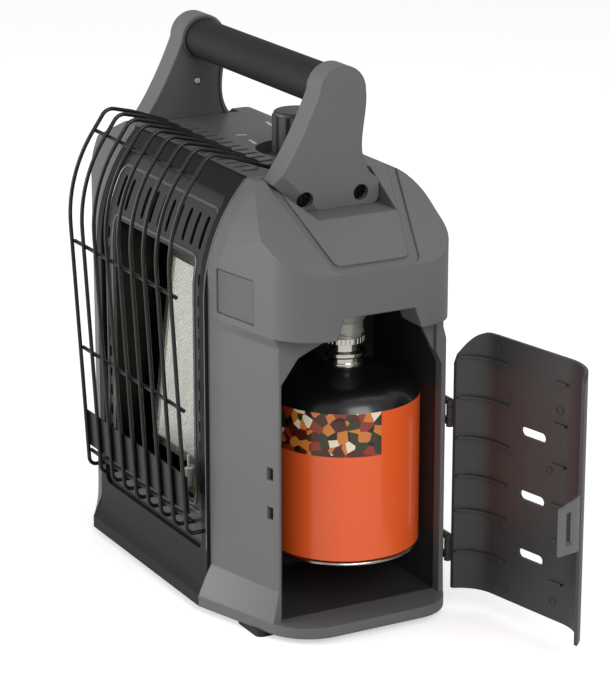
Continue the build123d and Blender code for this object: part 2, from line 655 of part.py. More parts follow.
def cross_screw(x, y, z, r, length, facing):
    """Pan-head screw with a cross recess, head facing along +X or -X."""
    slot_long, slot_wide, slot_deep, edge_r = 1.1 * r, 0.3 * r, 0.35 * length, 0.25 * r
    sketch_plane = Plane(origin=(x, y, z), x_dir=(0, 1, 0), z_dir=(facing, 0, 0))
    with BuildPart() as screw:
        with BuildSketch(sketch_plane):
            Circle(r)
        extrude(amount=-length)
        fillet(edges().filter_by(GeomType.CIRCLE).sort_by(Axis.X, reverse=facing > 0)[:1], edge_r)
        with BuildSketch(sketch_plane):
            Rectangle(slot_long, slot_wide)
            Rectangle(slot_wide, slot_long)
        extrude(amount=-slot_deep, mode=Mode.SUBTRACT)
    return screw.part


with BuildPart() as arm_screws:
    for y, z in arm_screws_yz:
        add(cross_screw(arm_outer_x - arm_screw_depth + arm_screw_head, y, z, arm_screw_r - seat_gap,
                        arm_screw_head, 1))
    mirror(arm_screws.part, about=arm_mirror)
export(arm_screws, "arm_screws")
with BuildPart() as arm_cover_screws:
    add(cross_screw(plate_x + touch_gap, *cover_screw_yz, cover_screw_r, cover_screw_h, -1))
    mirror(arm_cover_screws.part, about=arm_mirror)
export(arm_cover_screws, "arm_cover_screws")

# ---------------------------------------------------------------- cartridge bay
bay_inner_x = 42.6
bay_wall = 1.7
bay_floor_z = lip_top_z - bay_wall
bay_top_z = arch_top_z + wall - seat_gap
bay = {**gas, "inner_x": bay_inner_x}
inner_bay = {**gas, "inner_x": bay_inner_x + bay_wall}
regulator_r, regulator_clear = 18.5, 1.5
with BuildPart() as bay_liner:
    extrude(side_plan(bay_floor_z, inset=column_wall + seat_gap, grow=-column, **bay),
            amount=bay_top_z - bay_floor_z)
    extrude(side_plan(lip_top_z, inset=column_wall + seat_gap + bay_wall, grow=-column, **inner_bay),
            amount=bay_top_z - bay_wall - lip_top_z, mode=Mode.SUBTRACT)
    with BuildSketch(Plane.YZ.offset(flange_x - seat_gap)):
        Rectangle(past, 2 * past)
    extrude(amount=past, mode=Mode.SUBTRACT)
    with BuildSketch(Plane.XY.offset(bay_top_z)):
        with Locations((cartridge_x, cartridge_y)):
            Circle(regulator_r + regulator_clear)
    extrude(amount=-2 * bay_wall, mode=Mode.SUBTRACT)
export(bay_liner, "bay_liner")

# ---------------------------------------------------------------- cartridge
cartridge_axis = Axis((cartridge_x, cartridge_y, 0), (0, 0, 1))
label_top_z = cartridge_bottom_z + cartridge_label_h
dome_top_z = label_top_z + cartridge_dome_h
cup_z = dome_top_z + cup_h


def turned(points):
    """Piece turned about the cartridge's axis from (radius, height) points."""
    with BuildPart() as piece:
        with BuildSketch(Plane.XZ.offset(-cartridge_y)):
            with BuildLine():
                Polyline(*[(cartridge_x + r, z) for r, z in points], close=True)
            make_face()
        revolve(axis=cartridge_axis)
    return piece.part


base_dish = [(0, 9.0), (cartridge_r - 12.0, 5.0), (cartridge_r - 3.0, 2.5), (cartridge_r, 4.0)]
brow_mid, brow_end = (6.5, 9.0), (18.0, 15.0)      # shoulder of the dome: in from the wall, up
cup_foot = 3.0
with BuildPart() as cartridge_shell:
    with BuildSketch(Plane.XZ.offset(-cartridge_y)):
        with BuildLine():
            edge_x = cartridge_x + cartridge_r
            dome_end = (edge_x - brow_end[0], label_top_z + brow_end[1])
            Polyline(*[(cartridge_x + r, cartridge_bottom_z + z) for r, z in base_dish],
                     (edge_x, label_top_z))
            ThreePointArc((edge_x, label_top_z), (edge_x - brow_mid[0], label_top_z + brow_mid[1]),
                          dome_end)
            Polyline(dome_end, (cartridge_x + cup_r + cup_foot, dome_top_z), (cartridge_x, dome_top_z),
                     (cartridge_x, cartridge_bottom_z + base_dish[0][1]))
        make_face()
    revolve(axis=cartridge_axis)
    base_z = cartridge_bottom_z + cartridge_wall
    add(turned([(0, base_z + base_dish[0][1]), (base_dish[1][0], base_z + base_dish[1][1]),
                (cartridge_r - cartridge_wall, base_z + base_dish[1][1]),
                (cartridge_r - cartridge_wall, label_top_z - cartridge_wall),
                (cartridge_r - brow_end[0], label_top_z + brow_end[1] - 3 * cartridge_wall),
                (cup_r, dome_top_z - cartridge_wall), (0, dome_top_z - cartridge_wall)]),
        mode=Mode.SUBTRACT)
export(cartridge_shell, "cartridge_shell")
rim_w, rim_h, rim_r, rim_in = 2.8, 2.4, 1.1, 1.6
with BuildPart() as cartridge_rim:
    with BuildSketch(Plane.XZ.offset(-cartridge_y)):
        with Locations((cartridge_x + cartridge_r - rim_in, cartridge_bottom_z + rim_h / 2 + touch_gap)):
            RectangleRounded(rim_w, rim_h, rim_r)
    revolve(axis=cartridge_axis)
export(cartridge_rim, "cartridge_rim")
cup_flange, seal_groove = (1.4, 1.6), (2.0, 3.0, 1.5)     # out and up; round the neck, and its depth
neck_top_z = cup_z + neck_h
valve_foot_z = dome_top_z + touch_gap
with BuildPart() as cartridge_valve:
    add(turned([(0, valve_foot_z), (cup_r + cup_flange[0], valve_foot_z),
                (cup_r + cup_flange[0], dome_top_z + cup_flange[1]), (cup_r, dome_top_z + cup_flange[1]),
                (cup_r, cup_z), (neck_r + seal_groove[1], cup_z),
                (neck_r + seal_groove[0], cup_z - seal_groove[2]), (neck_r, cup_z - seal_groove[2]),
                (neck_r, neck_top_z), (0, neck_top_z)]))
export(cartridge_valve, "cartridge_valve")

# ---------------------------------------------------------------- regulator over the cartridge
nut_z = cup_z + seat_gap
nut_steps = [(14.0, 0.0), (15.9, 1.4), (15.9, 3.6), (12.2, 4.8), (12.2, 9.6), (14.8, 10.6),
             (14.8, 14.6)]                # radius and height up the nut
knurls_n, knurl_r, knurl_out = 30, 0.55, 0.2
with BuildPart() as regulator_nut:
    add(turned([(0, nut_z), *[(r, nut_z + z) for r, z in nut_steps], (0, nut_z + nut_steps[-1][1])]))
    with BuildSketch(Plane.XY.offset(nut_z)):
        with Locations((cartridge_x, cartridge_y)):
            Circle(neck_r + seat_gap)
    extrude(amount=neck_h + 2, mode=Mode.SUBTRACT)
    with BuildSketch(Plane.XY.offset(nut_z + nut_steps[-2][1])):
        with Locations((cartridge_x, cartridge_y)):
            with PolarLocations(nut_steps[-2][0] + knurl_out, knurls_n):
                Circle(knurl_r)
    extrude(amount=nut_steps[-1][1] - nut_steps[-2][1], mode=Mode.SUBTRACT)
export(regulator_nut, "regulator_nut")
reg_z = nut_z + nut_steps[-1][1]
reg_steps = [(13.0, touch_gap), (13.0, 1.6), (14.6, 2.6), (13.8, 4.0), (13.8, 11.0), (15.0, 12.0),
             (regulator_r, 22.0)]         # radius and height up to the bay's roof
reg_flange_r, reg_flange_t = 24.0, 4.0
reg_cap_r, reg_cap_h = 14.0, 16.0
roof_z = bay_top_z + touch_gap
with BuildPart() as regulator_body:
    add(turned([(0, reg_z + touch_gap), *[(r, reg_z + z) for r, z in reg_steps], (regulator_r, roof_z),
                (reg_flange_r, roof_z), (reg_flange_r, roof_z + reg_flange_t),
                (reg_cap_r, roof_z + reg_flange_t), (reg_cap_r, roof_z + reg_cap_h),
                (0, roof_z + reg_cap_h)]))
export(regulator_body, "regulator_body")

# ---------------------------------------------------------------- gas valve, jet and pipes
valve_top_z, valve_h = 286.0, 30.0
valve_w, valve_d, valve_r = 34.0, 26.0, 3.0
gland_r, gland_h = 11.0, 4.0
stem_clear, stem_bite = 0.3, 7.0          # the stem's play in the valve, and its depth there
leg_w, leg_d = 3.0, 16.0                  # bracket legs that hang the valve from the knob's well
with BuildPart() as gas_valve:
    with BuildSketch(Plane.XY.offset(valve_top_z - valve_h)):
        with Locations((knob_x, knob_y)):
            RectangleRounded(valve_w, valve_d, valve_r)
    extrude(amount=valve_h)
    with BuildSketch(Plane.XY.offset(valve_top_z)):
        with Locations((knob_x, knob_y)):
            Circle(gland_r)
    extrude(amount=gland_h)
    with BuildSketch(Plane.XY.offset(valve_top_z + gland_h)):
        with Locations((knob_x, knob_y)):
            Circle(stem_r + stem_clear)
    extrude(amount=-gland_h - stem_bite - 2 * knob_travel, mode=Mode.SUBTRACT)
    with BuildSketch(Plane.XY.offset(valve_top_z)):
        with Locations(*[(knob_x + side * (valve_w - leg_w) / 2, knob_y) for side in (-1, 1)]):
            Rectangle(leg_w, leg_d)
    extrude(amount=knob_floor_z - wall - valve_top_z)
export(gas_valve, "gas_valve")

pipe_r = 3.0
jet_x, jet_y, jet_z = cover_mid_x, -24.0, 40.0
jet_hex_r, jet_hex_h, jet_tip_r, jet_tip_h, jet_taper = 6.0, 8.0, 3.5, 6.0, 12.0


def pipe(points, radius, r):
    """Round pipe along straight runs joined by bends."""
    with BuildPart() as run:
        with BuildLine() as route:
            FilletPolyline(*points, radius=radius)
        first, second = Vector(*points[0]), Vector(*points[1])
        with BuildSketch(Plane(origin=first, z_dir=(second - first).normalized())):
            Circle(r)
        sweep(path=route.line)
    return run.part


feed_z, feed_rise = roof_z + 10.0, 12.0   # pipe from the regulator's cap over to the valve
feed_turn_x, feed_bend = 60.0, 9.0
supply_z, supply_bend = 24.0, 7.0         # pipe from the valve down to the jet
jet_foot_z = jet_z - jet_hex_h
with BuildPart() as gas_pipe:
    add(pipe([(cartridge_x - reg_cap_r - seat_gap, cartridge_y, feed_z), (feed_turn_x, cartridge_y, feed_z),
              (feed_turn_x, knob_y, feed_z + feed_rise),
              (knob_x + valve_w / 2 + seat_gap, knob_y, feed_z + feed_rise)], feed_bend, pipe_r))
    add(pipe([(knob_x, knob_y, valve_top_z - valve_h - seat_gap), (knob_x, knob_y, supply_z),
              (jet_x, jet_y, supply_z), (jet_x, jet_y, jet_foot_z)], supply_bend, pipe_r))
export(gas_pipe, "gas_pipe")
with BuildPart() as gas_jet:
    with BuildSketch(Plane.XY.offset(jet_foot_z + touch_gap)):
        with Locations((jet_x, jet_y)):
            RegularPolygon(jet_hex_r, 6)
    extrude(amount=jet_hex_h)
    with BuildSketch(Plane.XY.offset(jet_z + touch_gap)):
        with Locations((jet_x, jet_y)):
            Circle(jet_tip_r)
    extrude(amount=jet_tip_h, taper=jet_taper)
export(gas_jet, "gas_jet")

# ---------------------------------------------------------------- burner
lean = radians(plaque_lean)
plaque_plane = Plane(origin=(cover_mid_x, plaque_front_y, plaque_mid_z), x_dir=(1, 0, 0),
                     z_dir=(0, -cos(lean), sin(lean)))
with BuildPart() as ceramic_plaque:
    with BuildSketch(plaque_plane):
        Rectangle(plaque_w, plaque_h)
    extrude(amount=-plaque_t)
export(ceramic_plaque, "ceramic_plaque")
frame_lip, frame_t, plaque_gap = 4.0, 1.5, 0.3
pocket_w, pocket_h = plaque_w + 2 * plaque_gap, plaque_h + 2 * plaque_gap
outer_w, outer_h = pocket_w + 2 * frame_t, pocket_h + 2 * frame_t
with BuildPart() as plaque_frame:
    with BuildSketch(plaque_plane.offset(frame_t + touch_gap)):
        Rectangle(outer_w, outer_h)
    extrude(amount=-plaque_t - frame_t)
    with BuildSketch(plaque_plane.offset(touch_gap)):
        Rectangle(pocket_w, pocket_h)
    extrude(amount=-2 * plaque_t, mode=Mode.SUBTRACT)
    with BuildSketch(plaque_plane.offset(plaque_t)):
        Rectangle(plaque_w - 2 * frame_lip, plaque_h - 2 * frame_lip)
    extrude(amount=-2 * plaque_t, mode=Mode.SUBTRACT)
export(plaque_frame, "plaque_frame")
plenum_depth, plenum_lip = 18.0, 3.0
with BuildPart() as burner_plenum:
    with BuildSketch(plaque_plane.offset(-plaque_t - touch_gap)):
        Rectangle(outer_w, outer_h)
    extrude(amount=-plenum_depth)
    with BuildSketch(plaque_plane.offset(-plaque_t - touch_gap)):
        Rectangle(plaque_w - 2 * plenum_lip, plaque_h - 2 * plenum_lip)
    extrude(amount=-plenum_depth + sheet, mode=Mode.SUBTRACT)
export(burner_plenum, "burner_plenum")
plenum_low_z = plaque_mid_z - outer_h / 2 * cos(lean) - (plaque_t + plenum_depth) * sin(lean)
venturi_r, venturi_gap = 8.0, 10.0        # the tube starts this far above the jet's seat
venturi_roof = 2.0
with BuildPart() as venturi_tube:
    with BuildSketch(Plane.XY.offset(jet_z + venturi_gap)):
        with Locations((jet_x, jet_y)):
            Circle(venturi_r)
    extrude(amount=plenum_low_z - seat_gap - jet_z - venturi_gap)
    with BuildSketch(Plane.XY.offset(jet_z + venturi_gap)):
        with Locations((jet_x, jet_y)):
            Circle(venturi_r - sheet)
    extrude(amount=plenum_low_z - venturi_roof - jet_z - venturi_gap, mode=Mode.SUBTRACT)
export(venturi_tube, "venturi_tube")

# reflector: open-fronted steel box round the burner, cut to lie behind the frame
with BuildPart() as ahead_of_box:
    extrude(front_skin(cover_left - rim, -past / 10, frame_inset + sheet + seat_gap),
            amount=cover_width + 2 * rim)
box_side, box_below, box_above = 2.0, 3.0, 6.0      # the box outside the radiant opening
box_w, box_z = radiant_w + 2 * box_side, (radiant_z[0] - box_below, radiant_z[1] + box_above)
box_front_y = cover_front_y + frame_inset + sheet + seat_gap
box_back_y = 12.0
with BuildPart() as reflector_box:
    with BuildSketch(Plane.XZ.offset(-box_front_y)):
        with Locations((cover_mid_x, sum(box_z) / 2)):
            Rectangle(box_w, box_z[1] - box_z[0])
    extrude(amount=-(box_back_y - box_front_y))
    with BuildSketch(Plane.XZ.offset(-box_front_y)):
        with Locations((cover_mid_x, sum(box_z) / 2)):
            Rectangle(box_w - 2 * sheet, box_z[1] - box_z[0] - 2 * sheet)
    extrude(amount=-(box_back_y - box_front_y - sheet), mode=Mode.SUBTRACT)
    with BuildSketch(Plane.XY.offset(box_z[0])):
        with Locations((jet_x, jet_y)):
            Circle(venturi_r + seat_gap)
    extrude(amount=2 * sheet, mode=Mode.SUBTRACT)
    add(ahead_of_box.part, mode=Mode.SUBTRACT)
export(reflector_box, "reflector_box")

# polished hood over the plaque, folded from one sheet
hood_back_y, hood_fold_y = plaque_front_y + 18.0, plaque_front_y    # rear edge and the fold
hood_low_z = plaque_mid_z + outer_h / 2 + 2.0
hood_fold_rise, hood_front_drop = 2.0, 4.0
hood_front = (box_front_y + 1.0, box_z[1] - sheet - hood_front_drop)
with BuildPart() as reflector_hood:
    with BuildSketch(Plane.YZ.offset(cover_mid_x - outer_w / 2)):
        with BuildLine():
            Polyline((hood_back_y, hood_low_z), (hood_fold_y, hood_low_z + hood_fold_rise), hood_front,
                     (hood_front[0], hood_front[1] + sheet),
                     (hood_fold_y, hood_low_z + hood_fold_rise + sheet),
                     (hood_back_y, hood_low_z + sheet), close=True)
        make_face()
    extrude(amount=outer_w)
    add(ahead_of_box.part, mode=Mode.SUBTRACT)
export(reflector_hood, "reflector_hood")

# ---------------------------------------------------------------- pilot and safety parts
bracket_x, bracket_y, bracket_z = 18.0, -60.0, box_z[0] + sheet
bracket_w, bracket_d, bracket_h, bracket_t = 26.0, 10.0, 16.0, 1.5
probe_apart, probe_back = 7.0, 0.5
probe_z = bracket_z + bracket_t + touch_gap
with BuildPart() as sensor_bracket:
    with BuildSketch(Plane.XY.offset(bracket_z)):
        with Locations((bracket_x, bracket_y)):
            Rectangle(bracket_w, bracket_d)
    extrude(amount=bracket_t)
    with BuildSketch(Plane.XZ.offset(-bracket_y - bracket_d / 2)):
        with Locations((bracket_x, bracket_z + bracket_h / 2)):
            Rectangle(bracket_w, bracket_h)
    extrude(amount=bracket_t)
export(sensor_bracket, "sensor_bracket")


def stepped_pin(x, y, z, steps):
    """Upright pin of stacked cylinders from (radius, height) pairs."""
    with BuildPart() as pin:
        low = z
        for r, height in steps:
            with BuildSketch(Plane.XY.offset(low)):
                with Locations((x, y)):
                    Circle(r)
            extrude(amount=height)
            low += height
    return pin.part


with BuildPart() as thermocouple:
    add(stepped_pin(bracket_x + probe_apart, bracket_y - probe_back, probe_z, [(2.6, 12.0), (1.6, 12.0)]))
export(thermocouple, "thermocouple")
with BuildPart() as spark_electrode:
    add(stepped_pin(bracket_x - probe_apart, bracket_y - probe_back, probe_z, [(3.0, 14.0), (0.9, 10.0)]))
export(spark_electrode, "spark_electrode")
piezo_w, piezo_d, piezo_h = 14.0, 18.0, 28.0
with BuildPart() as piezo_igniter:
    with BuildSketch(Plane.XY.offset(valve_top_z - valve_h)):
        with Locations((knob_x - valve_w / 2 - seat_gap - piezo_w / 2, knob_y)):
            Rectangle(piezo_w, piezo_d)
    extrude(amount=piezo_h)
export(piezo_igniter, "piezo_igniter")
tilt_xy, tilt_size, tilt_r = (-70.0, 40.0), (30.0, 24.0, 26.0), 3.0
with BuildPart() as tilt_switch:
    with BuildSketch(Plane.XY.offset(pan_z)):
        with Locations(tilt_xy):
            RectangleRounded(tilt_size[0], tilt_size[1], tilt_r)
    extrude(amount=tilt_size[2])
export(tilt_switch, "tilt_switch")

# ---------------------------------------------------------------- wire guard
guard_end_z = top_z - 2.0
guard_hole_z = top_z + 2.5                # where the wires turn down into their holes
guard_inset = frame_inset - seat_gap      # the inner wires pass the cover and stop at the frame


def bent_wire(end_y):
    """Upright guard wire from its hole in the top panel round the front, back to end_y."""
    with BuildPart() as wire:
        with BuildLine() as route:
            FilletPolyline((0, guard_top_y, guard_end_z), (0, guard_top_y, guard_hole_z),
                           (0, *guard_rise), (0, *guard_crown), (0, *guard_bow), (0, *guard_foot),
                           (0, end_y, guard_foot[1]), radius=guard_bends)
        with BuildSketch(Plane(origin=(0, guard_top_y, guard_end_z), z_dir=(0, 0, 1))):
            Circle(guard_wire_r)
        sweep(path=route.line)
    return wire.part


with BuildPart() as guard_wires:
    with Locations(*[(x, 0, 0) for x in guard_xs[1:-1]]):
        add(bent_wire(cover_front_y + guard_inset))
    with Locations((guard_xs[0], 0, 0), (guard_xs[-1], 0, 0)):
        add(bent_wire(cover_front_y - seat_gap))
export(guard_wires, "guard_wires")


def inner_side(start, end, z, off):
    """Point that lies off behind the straight stretch of wire from start to end at height z."""
    dy, dz = end[0] - start[0], end[1] - start[1]
    y = start[0] + dy * (z - start[1]) / dz
    return y - off * dz / hypot(dy, dz), z + off * dy / hypot(dy, dz)


weld_gap = 0.1
cross_overhang = 2.0
cross_low_zs = (237.0, 153.0, 70.0)
cross_top_z = 320.8
cross_from = guard_xs[0] - cross_overhang
cross_length = guard_xs[-1] - guard_xs[0] + 2 * cross_overhang
cross_off = 2 * guard_wire_r + weld_gap
cross_yz = [inner_side(guard_crown, guard_bow, cross_top_z, cross_off)]
cross_yz += [inner_side(guard_bow, guard_foot, z, cross_off) for z in cross_low_zs]
with BuildPart() as guard_cross_wires:
    with BuildSketch(Plane.YZ.offset(cross_from)):
        with Locations(*cross_yz):
            Circle(guard_wire_r)
    extrude(amount=cross_length)
export(guard_cross_wires, "guard_cross_wires")
band_z, band_t = (75.0, 103.0), 1.0
band_off = guard_wire_r + weld_gap
with BuildPart() as guard_band:
    with BuildSketch(Plane.YZ.offset(cross_from)):
        with BuildLine():
            Polyline(*[inner_side(guard_bow, guard_foot, z, off)
                       for z, off in ((band_z[0], band_off), (band_z[1], band_off),
                                      (band_z[1], band_off + band_t), (band_z[0], band_off + band_t))],
                     close=True)
        make_face()
    extrude(amount=cross_length)
export(guard_band, "guard_band")

# ---------------------------------------------------------------- bay door, drawn closed
window_mid_y, window_heights, window_size = 11.4, (57.1, 100.9, 147.9), (25.0, 7.0)
rib_heights, rib_t, rib_h = (46.0, 77.5, 103.5, 132.5, 162.5, 192.5), 1.6, 2.4
rib_rear_y, rib_front_y = 36.0, (-21.5, -9.5)
door_strip_y = (-45.0, 50.0)              # the flat side, between the two wrapped strips
hinge_corner = [(58.0, 0.0), (66.0, -3.5), (73.0, -13.0), (79.0, -27.0)]    # (Y, down from the top)
latch_corner = [(-51.0, 0.0), (-58.0, -6.5)]
swing = Pos(*hinge_axis, 0) * Rot(0, 0, door_open_angle) * Pos(-hinge_axis[0], -hinge_axis[1], 0)


def door_layer(z, height, outer, inner, low_y=-past, high_y=past):
    """Slice of the door's shell between two insets from the body's outline."""
    with BuildPart() as layer:
        extrude(side_plan(z, inset=outer, **gas), amount=height)
        extrude(side_plan(z, inset=inner, **gas), amount=height, mode=Mode.SUBTRACT)
        with BuildSketch(Plane.XY.offset(z)):
            with BuildLine():
                Polyline((door_latch_x, -past), (past, -past), (past, past), (hinge_axis[0], past),
                         (hinge_axis[0], door_strip_y[1]), (door_latch_x, door_strip_y[0]), close=True)
            make_face()
            with Locations((0, (low_y + high_y) / 2)):
                Rectangle(2 * past, high_y - low_y, mode=Mode.INTERSECT)
        extrude(amount=height, mode=Mode.INTERSECT)
    return layer.part


with BuildPart() as door_closed:
    add(door_layer(door_bottom_z, door_top_z - door_bottom_z, 0, door_thickness))
    # hinge-side top corner cut away in a curve, free-side top corner bevelled
    with BuildSketch(Plane.YZ.offset(opening_plane_x)):
        with BuildLine():
            Spline(*[(y, door_top_z + z) for y, z in hinge_corner])
            Polyline((hinge_corner[-1][0], door_top_z + hinge_corner[-1][1]),
                     (past, door_top_z + hinge_corner[-1][1]), (past, past),
                     (hinge_corner[0][0], past), (hinge_corner[0][0], door_top_z))
        make_face()
        with BuildLine():
            Polyline(*[(y, door_top_z + z) for y, z in latch_corner],
                     (-past, door_top_z + latch_corner[-1][1]), (-past, past),
                     (latch_corner[0][0], past), close=True)
        make_face()
    extrude(amount=past, mode=Mode.SUBTRACT)
    with BuildSketch(Plane.YZ.offset(side_x - 2 * door_thickness)):
        with Locations(*[(window_mid_y, z) for z in window_heights]):
            SlotOverall(*window_size)
    extrude(amount=past, mode=Mode.SUBTRACT)
    for z in rib_heights:
        add(door_layer(z - rib_t / 2, rib_t, door_thickness, door_thickness + rib_h, rib_rear_y))
        add(door_layer(z - rib_t / 2, rib_t, door_thickness, door_thickness + rib_h, *rib_front_y))
with BuildPart() as door_panel:
    add(swing * door_closed.part)
export(door_panel, "door_panel")

# latch clip on the free edge, with a window and two short hooks
latch_z, latch_x = sum(latch_heights) / 2, (113.0, door_latch_x - touch_gap)
latch_half_h = (17.0, 20.0)               # at its tip and at the door's edge
latch_t, latch_inset = 1.7, 0.3
latch_hole, latch_hole_x = (7.0, 24.0), 11.5
hook_x, hook_size, hook_reach = 127.6, (1.5, 6.0), 1.0
latch_low_z, latch_high_z = latch_z - latch_half_h[1], latch_z + latch_half_h[1]
with BuildPart() as latch_closed:
    extrude(side_plan(latch_low_z, inset=latch_inset, **gas), amount=2 * latch_half_h[1])
    extrude(side_plan(latch_low_z, inset=latch_inset + latch_t, **gas), amount=2 * latch_half_h[1],
            mode=Mode.SUBTRACT)
    with BuildSketch(Plane.XZ.offset(past)):
        with BuildLine():
            Polyline((latch_x[0], latch_z - latch_half_h[0]), (latch_x[1], latch_low_z),
                     (latch_x[1], latch_high_z), (latch_x[0], latch_z + latch_half_h[0]), close=True)
        make_face()
        with Locations((latch_x[0] + latch_hole_x, latch_z)):
            Rectangle(*latch_hole, mode=Mode.SUBTRACT)
    extrude(amount=-past, mode=Mode.INTERSECT)
with BuildPart() as latch_hooks:
    extrude(side_plan(latch_low_z, inset=latch_inset + latch_t, **gas), amount=2 * latch_half_h[1])
    extrude(side_plan(latch_low_z, grow=-column - hook_reach, **gas), amount=2 * latch_half_h[1],
            mode=Mode.SUBTRACT)
    with BuildSketch(Plane.XZ.offset(past)):
        with Locations(*[(hook_x, z) for z in latch_heights]):
            Rectangle(*hook_size)
    extrude(amount=-past, mode=Mode.INTERSECT)
with BuildPart() as door_latch:
    add(swing * latch_closed.part)
    add(swing * latch_hooks.part)
export(door_latch, "door_latch")

# ---------------------------------------------------------------- hinges
end_knuckle = (hinge_length - hinge_knuckle) / 2 - seat_gap
leaf_x = (118.0, 134.0)                   # leaf of each bracket, on the flat of the rear wall
leaf_y = (rear_y, hinge_axis[1] + hinge_r)
tab_t, tab_length = 1.6, 14.0             # strap on the door's outer face that carries its knuckle
pin_end = 0.5
with BuildPart() as hinge_brackets:
    for z in hinge_heights:
        with BuildSketch(Plane.XY.offset(z - hinge_length / 2)):
            with Locations((sum(leaf_x) / 2, sum(leaf_y) / 2)):
                Rectangle(leaf_x[1] - leaf_x[0], leaf_y[1] - leaf_y[0])
        extrude(amount=hinge_length)
        for low in (z - hinge_length / 2, z + hinge_length / 2 - end_knuckle):
            with BuildSketch(Plane.XY.offset(low)):
                with Locations(hinge_axis):
                    Circle(hinge_r)
                with Locations(((leaf_x[0] + hinge_axis[0]) / 2, sum(leaf_y) / 2)):
                    Rectangle(hinge_axis[0] - leaf_x[0], leaf_y[1] - leaf_y[0])
                with Locations(hinge_axis):
                    Circle(hinge_pin_r + pin_clearance, mode=Mode.SUBTRACT)
            extrude(amount=end_knuckle)
export(hinge_brackets, "hinge_brackets")


def door_strap(z):
    """Curved strap on the closed door's outer face, as high as one knuckle."""
    with BuildPart() as strap:
        extrude(side_plan(z, inset=-tab_t, **gas), amount=hinge_knuckle)
        extrude(side_plan(z, inset=-touch_gap, **gas), amount=hinge_knuckle, mode=Mode.SUBTRACT)
        with BuildSketch(Plane.XY.offset(z)):
            with Locations((hinge_axis[0] + tab_length / 2, rear_y)):
                Rectangle(tab_length, rear_corner_r)
        extrude(amount=hinge_knuckle, mode=Mode.INTERSECT)
    return strap.part


with BuildPart() as knuckles_closed:
    for z in hinge_heights:
        add(door_strap(z - hinge_knuckle / 2))
        with BuildSketch(Plane.XY.offset(z - hinge_knuckle / 2)):
            with Locations(hinge_axis):
                Circle(hinge_r)
        extrude(amount=hinge_knuckle)
        with BuildSketch(Plane.XY.offset(z - hinge_knuckle / 2)):
            with Locations(hinge_axis):
                Circle(hinge_pin_r + pin_clearance)
        extrude(amount=hinge_knuckle, mode=Mode.SUBTRACT)
with BuildPart() as door_knuckles:
    add(swing * knuckles_closed.part)
export(door_knuckles, "door_knuckles")
with BuildPart() as hinge_pins:
    for z in hinge_heights:
        with BuildSketch(Plane.XY.offset(z - hinge_length / 2 - pin_end)):
            with Locations(hinge_axis):
                Circle(hinge_pin_r)
        extrude(amount=hinge_length + 2 * pin_end)
export(hinge_pins, "hinge_pins")

# ---------------------------------------------------------------- control knob and its stem
knob_low_z = knob_floor_z + knob_travel + knob_rest_gap
flutes_n, flute_r, flute_out, flute_start = 12, 3.0, 1.2, 15.0
cap_h, cap_in, cap_edge_r = 3.0, 1.0, 2.0
knob_roof, stem_end_gap = 6.0, 2.0
stem_collar_r, stem_collar_h, stem_collar_drop = 3.0, 3.0, 4.0    # collar under the well's floor
stem_low_z = valve_top_z - stem_bite
with BuildPart() as knob:
    with BuildSketch(Plane.XY.offset(knob_low_z)):
        with Locations((knob_x, knob_y)):
            Circle(knob_r)
            with PolarLocations(knob_r + flute_out, flutes_n, start_angle=flute_start):
                Circle(flute_r, mode=Mode.SUBTRACT)
    extrude(amount=knob_h - cap_h)
    with BuildSketch(Plane.XY.offset(knob_low_z + knob_h - cap_h)):
        with Locations((knob_x, knob_y)):
            Circle(knob_r - cap_in)
    extrude(amount=cap_h)
    fillet(edges().filter_by(GeomType.CIRCLE).sort_by(Axis.Z)[-1], cap_edge_r)
    with BuildSketch(Plane.XY.offset(knob_low_z)):
        with Locations((knob_x, knob_y)):
            Circle(stem_r + pin_clearance)
    extrude(amount=knob_h - knob_roof, mode=Mode.SUBTRACT)
export(knob, "knob")
with BuildPart() as knob_stem:
    with BuildSketch(Plane.XY.offset(stem_low_z)):
        with Locations((knob_x, knob_y)):
            Circle(stem_r)
    extrude(amount=knob_low_z + knob_h - knob_roof - stem_end_gap - stem_low_z)
    with BuildSketch(Plane.XY.offset(knob_floor_z - wall - stem_collar_drop - stem_collar_h)):
        with Locations((knob_x, knob_y)):
            Circle(stem_r + stem_collar_r)
    extrude(amount=stem_collar_h)
export(knob_stem, "knob_stem")
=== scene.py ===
import math

import bpy
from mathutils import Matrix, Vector


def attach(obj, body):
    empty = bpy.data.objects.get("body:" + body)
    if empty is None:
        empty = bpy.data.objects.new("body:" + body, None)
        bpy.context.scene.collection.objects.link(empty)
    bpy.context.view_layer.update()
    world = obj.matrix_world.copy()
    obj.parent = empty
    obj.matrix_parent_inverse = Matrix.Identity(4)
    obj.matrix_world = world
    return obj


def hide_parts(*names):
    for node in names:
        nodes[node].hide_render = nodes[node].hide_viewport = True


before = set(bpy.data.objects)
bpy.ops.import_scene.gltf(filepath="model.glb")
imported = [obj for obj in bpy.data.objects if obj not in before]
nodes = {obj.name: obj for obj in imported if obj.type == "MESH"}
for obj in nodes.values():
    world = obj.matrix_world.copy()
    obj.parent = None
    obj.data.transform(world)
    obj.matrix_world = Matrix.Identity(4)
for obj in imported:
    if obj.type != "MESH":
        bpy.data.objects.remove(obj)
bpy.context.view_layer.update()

# camera, floor and light: places in metres, angles in degrees

cameraSetup = {
    "place": (1.6445, -0.8599, 0.7946),
    "turn": 61.35,  # round from the front
    "down": 17.56,  # below level
    "lens": 145.05,  # mm
    "clip": (0.05, 40),
}

stageSetup = {
    "floorSize": 14.0, "floorColour": "#dededd", "floorRoughness": 0.9, "floorShine": 0.1,
    "floorGlow": 0.52,  # added for the camera alone, so that the floor meets the white background
    "worldColour": "#ffffff", "worldStrength": 0.47,
    "white": "#ffffff",  # what the camera sees behind the floor, and the colour of its glow
}

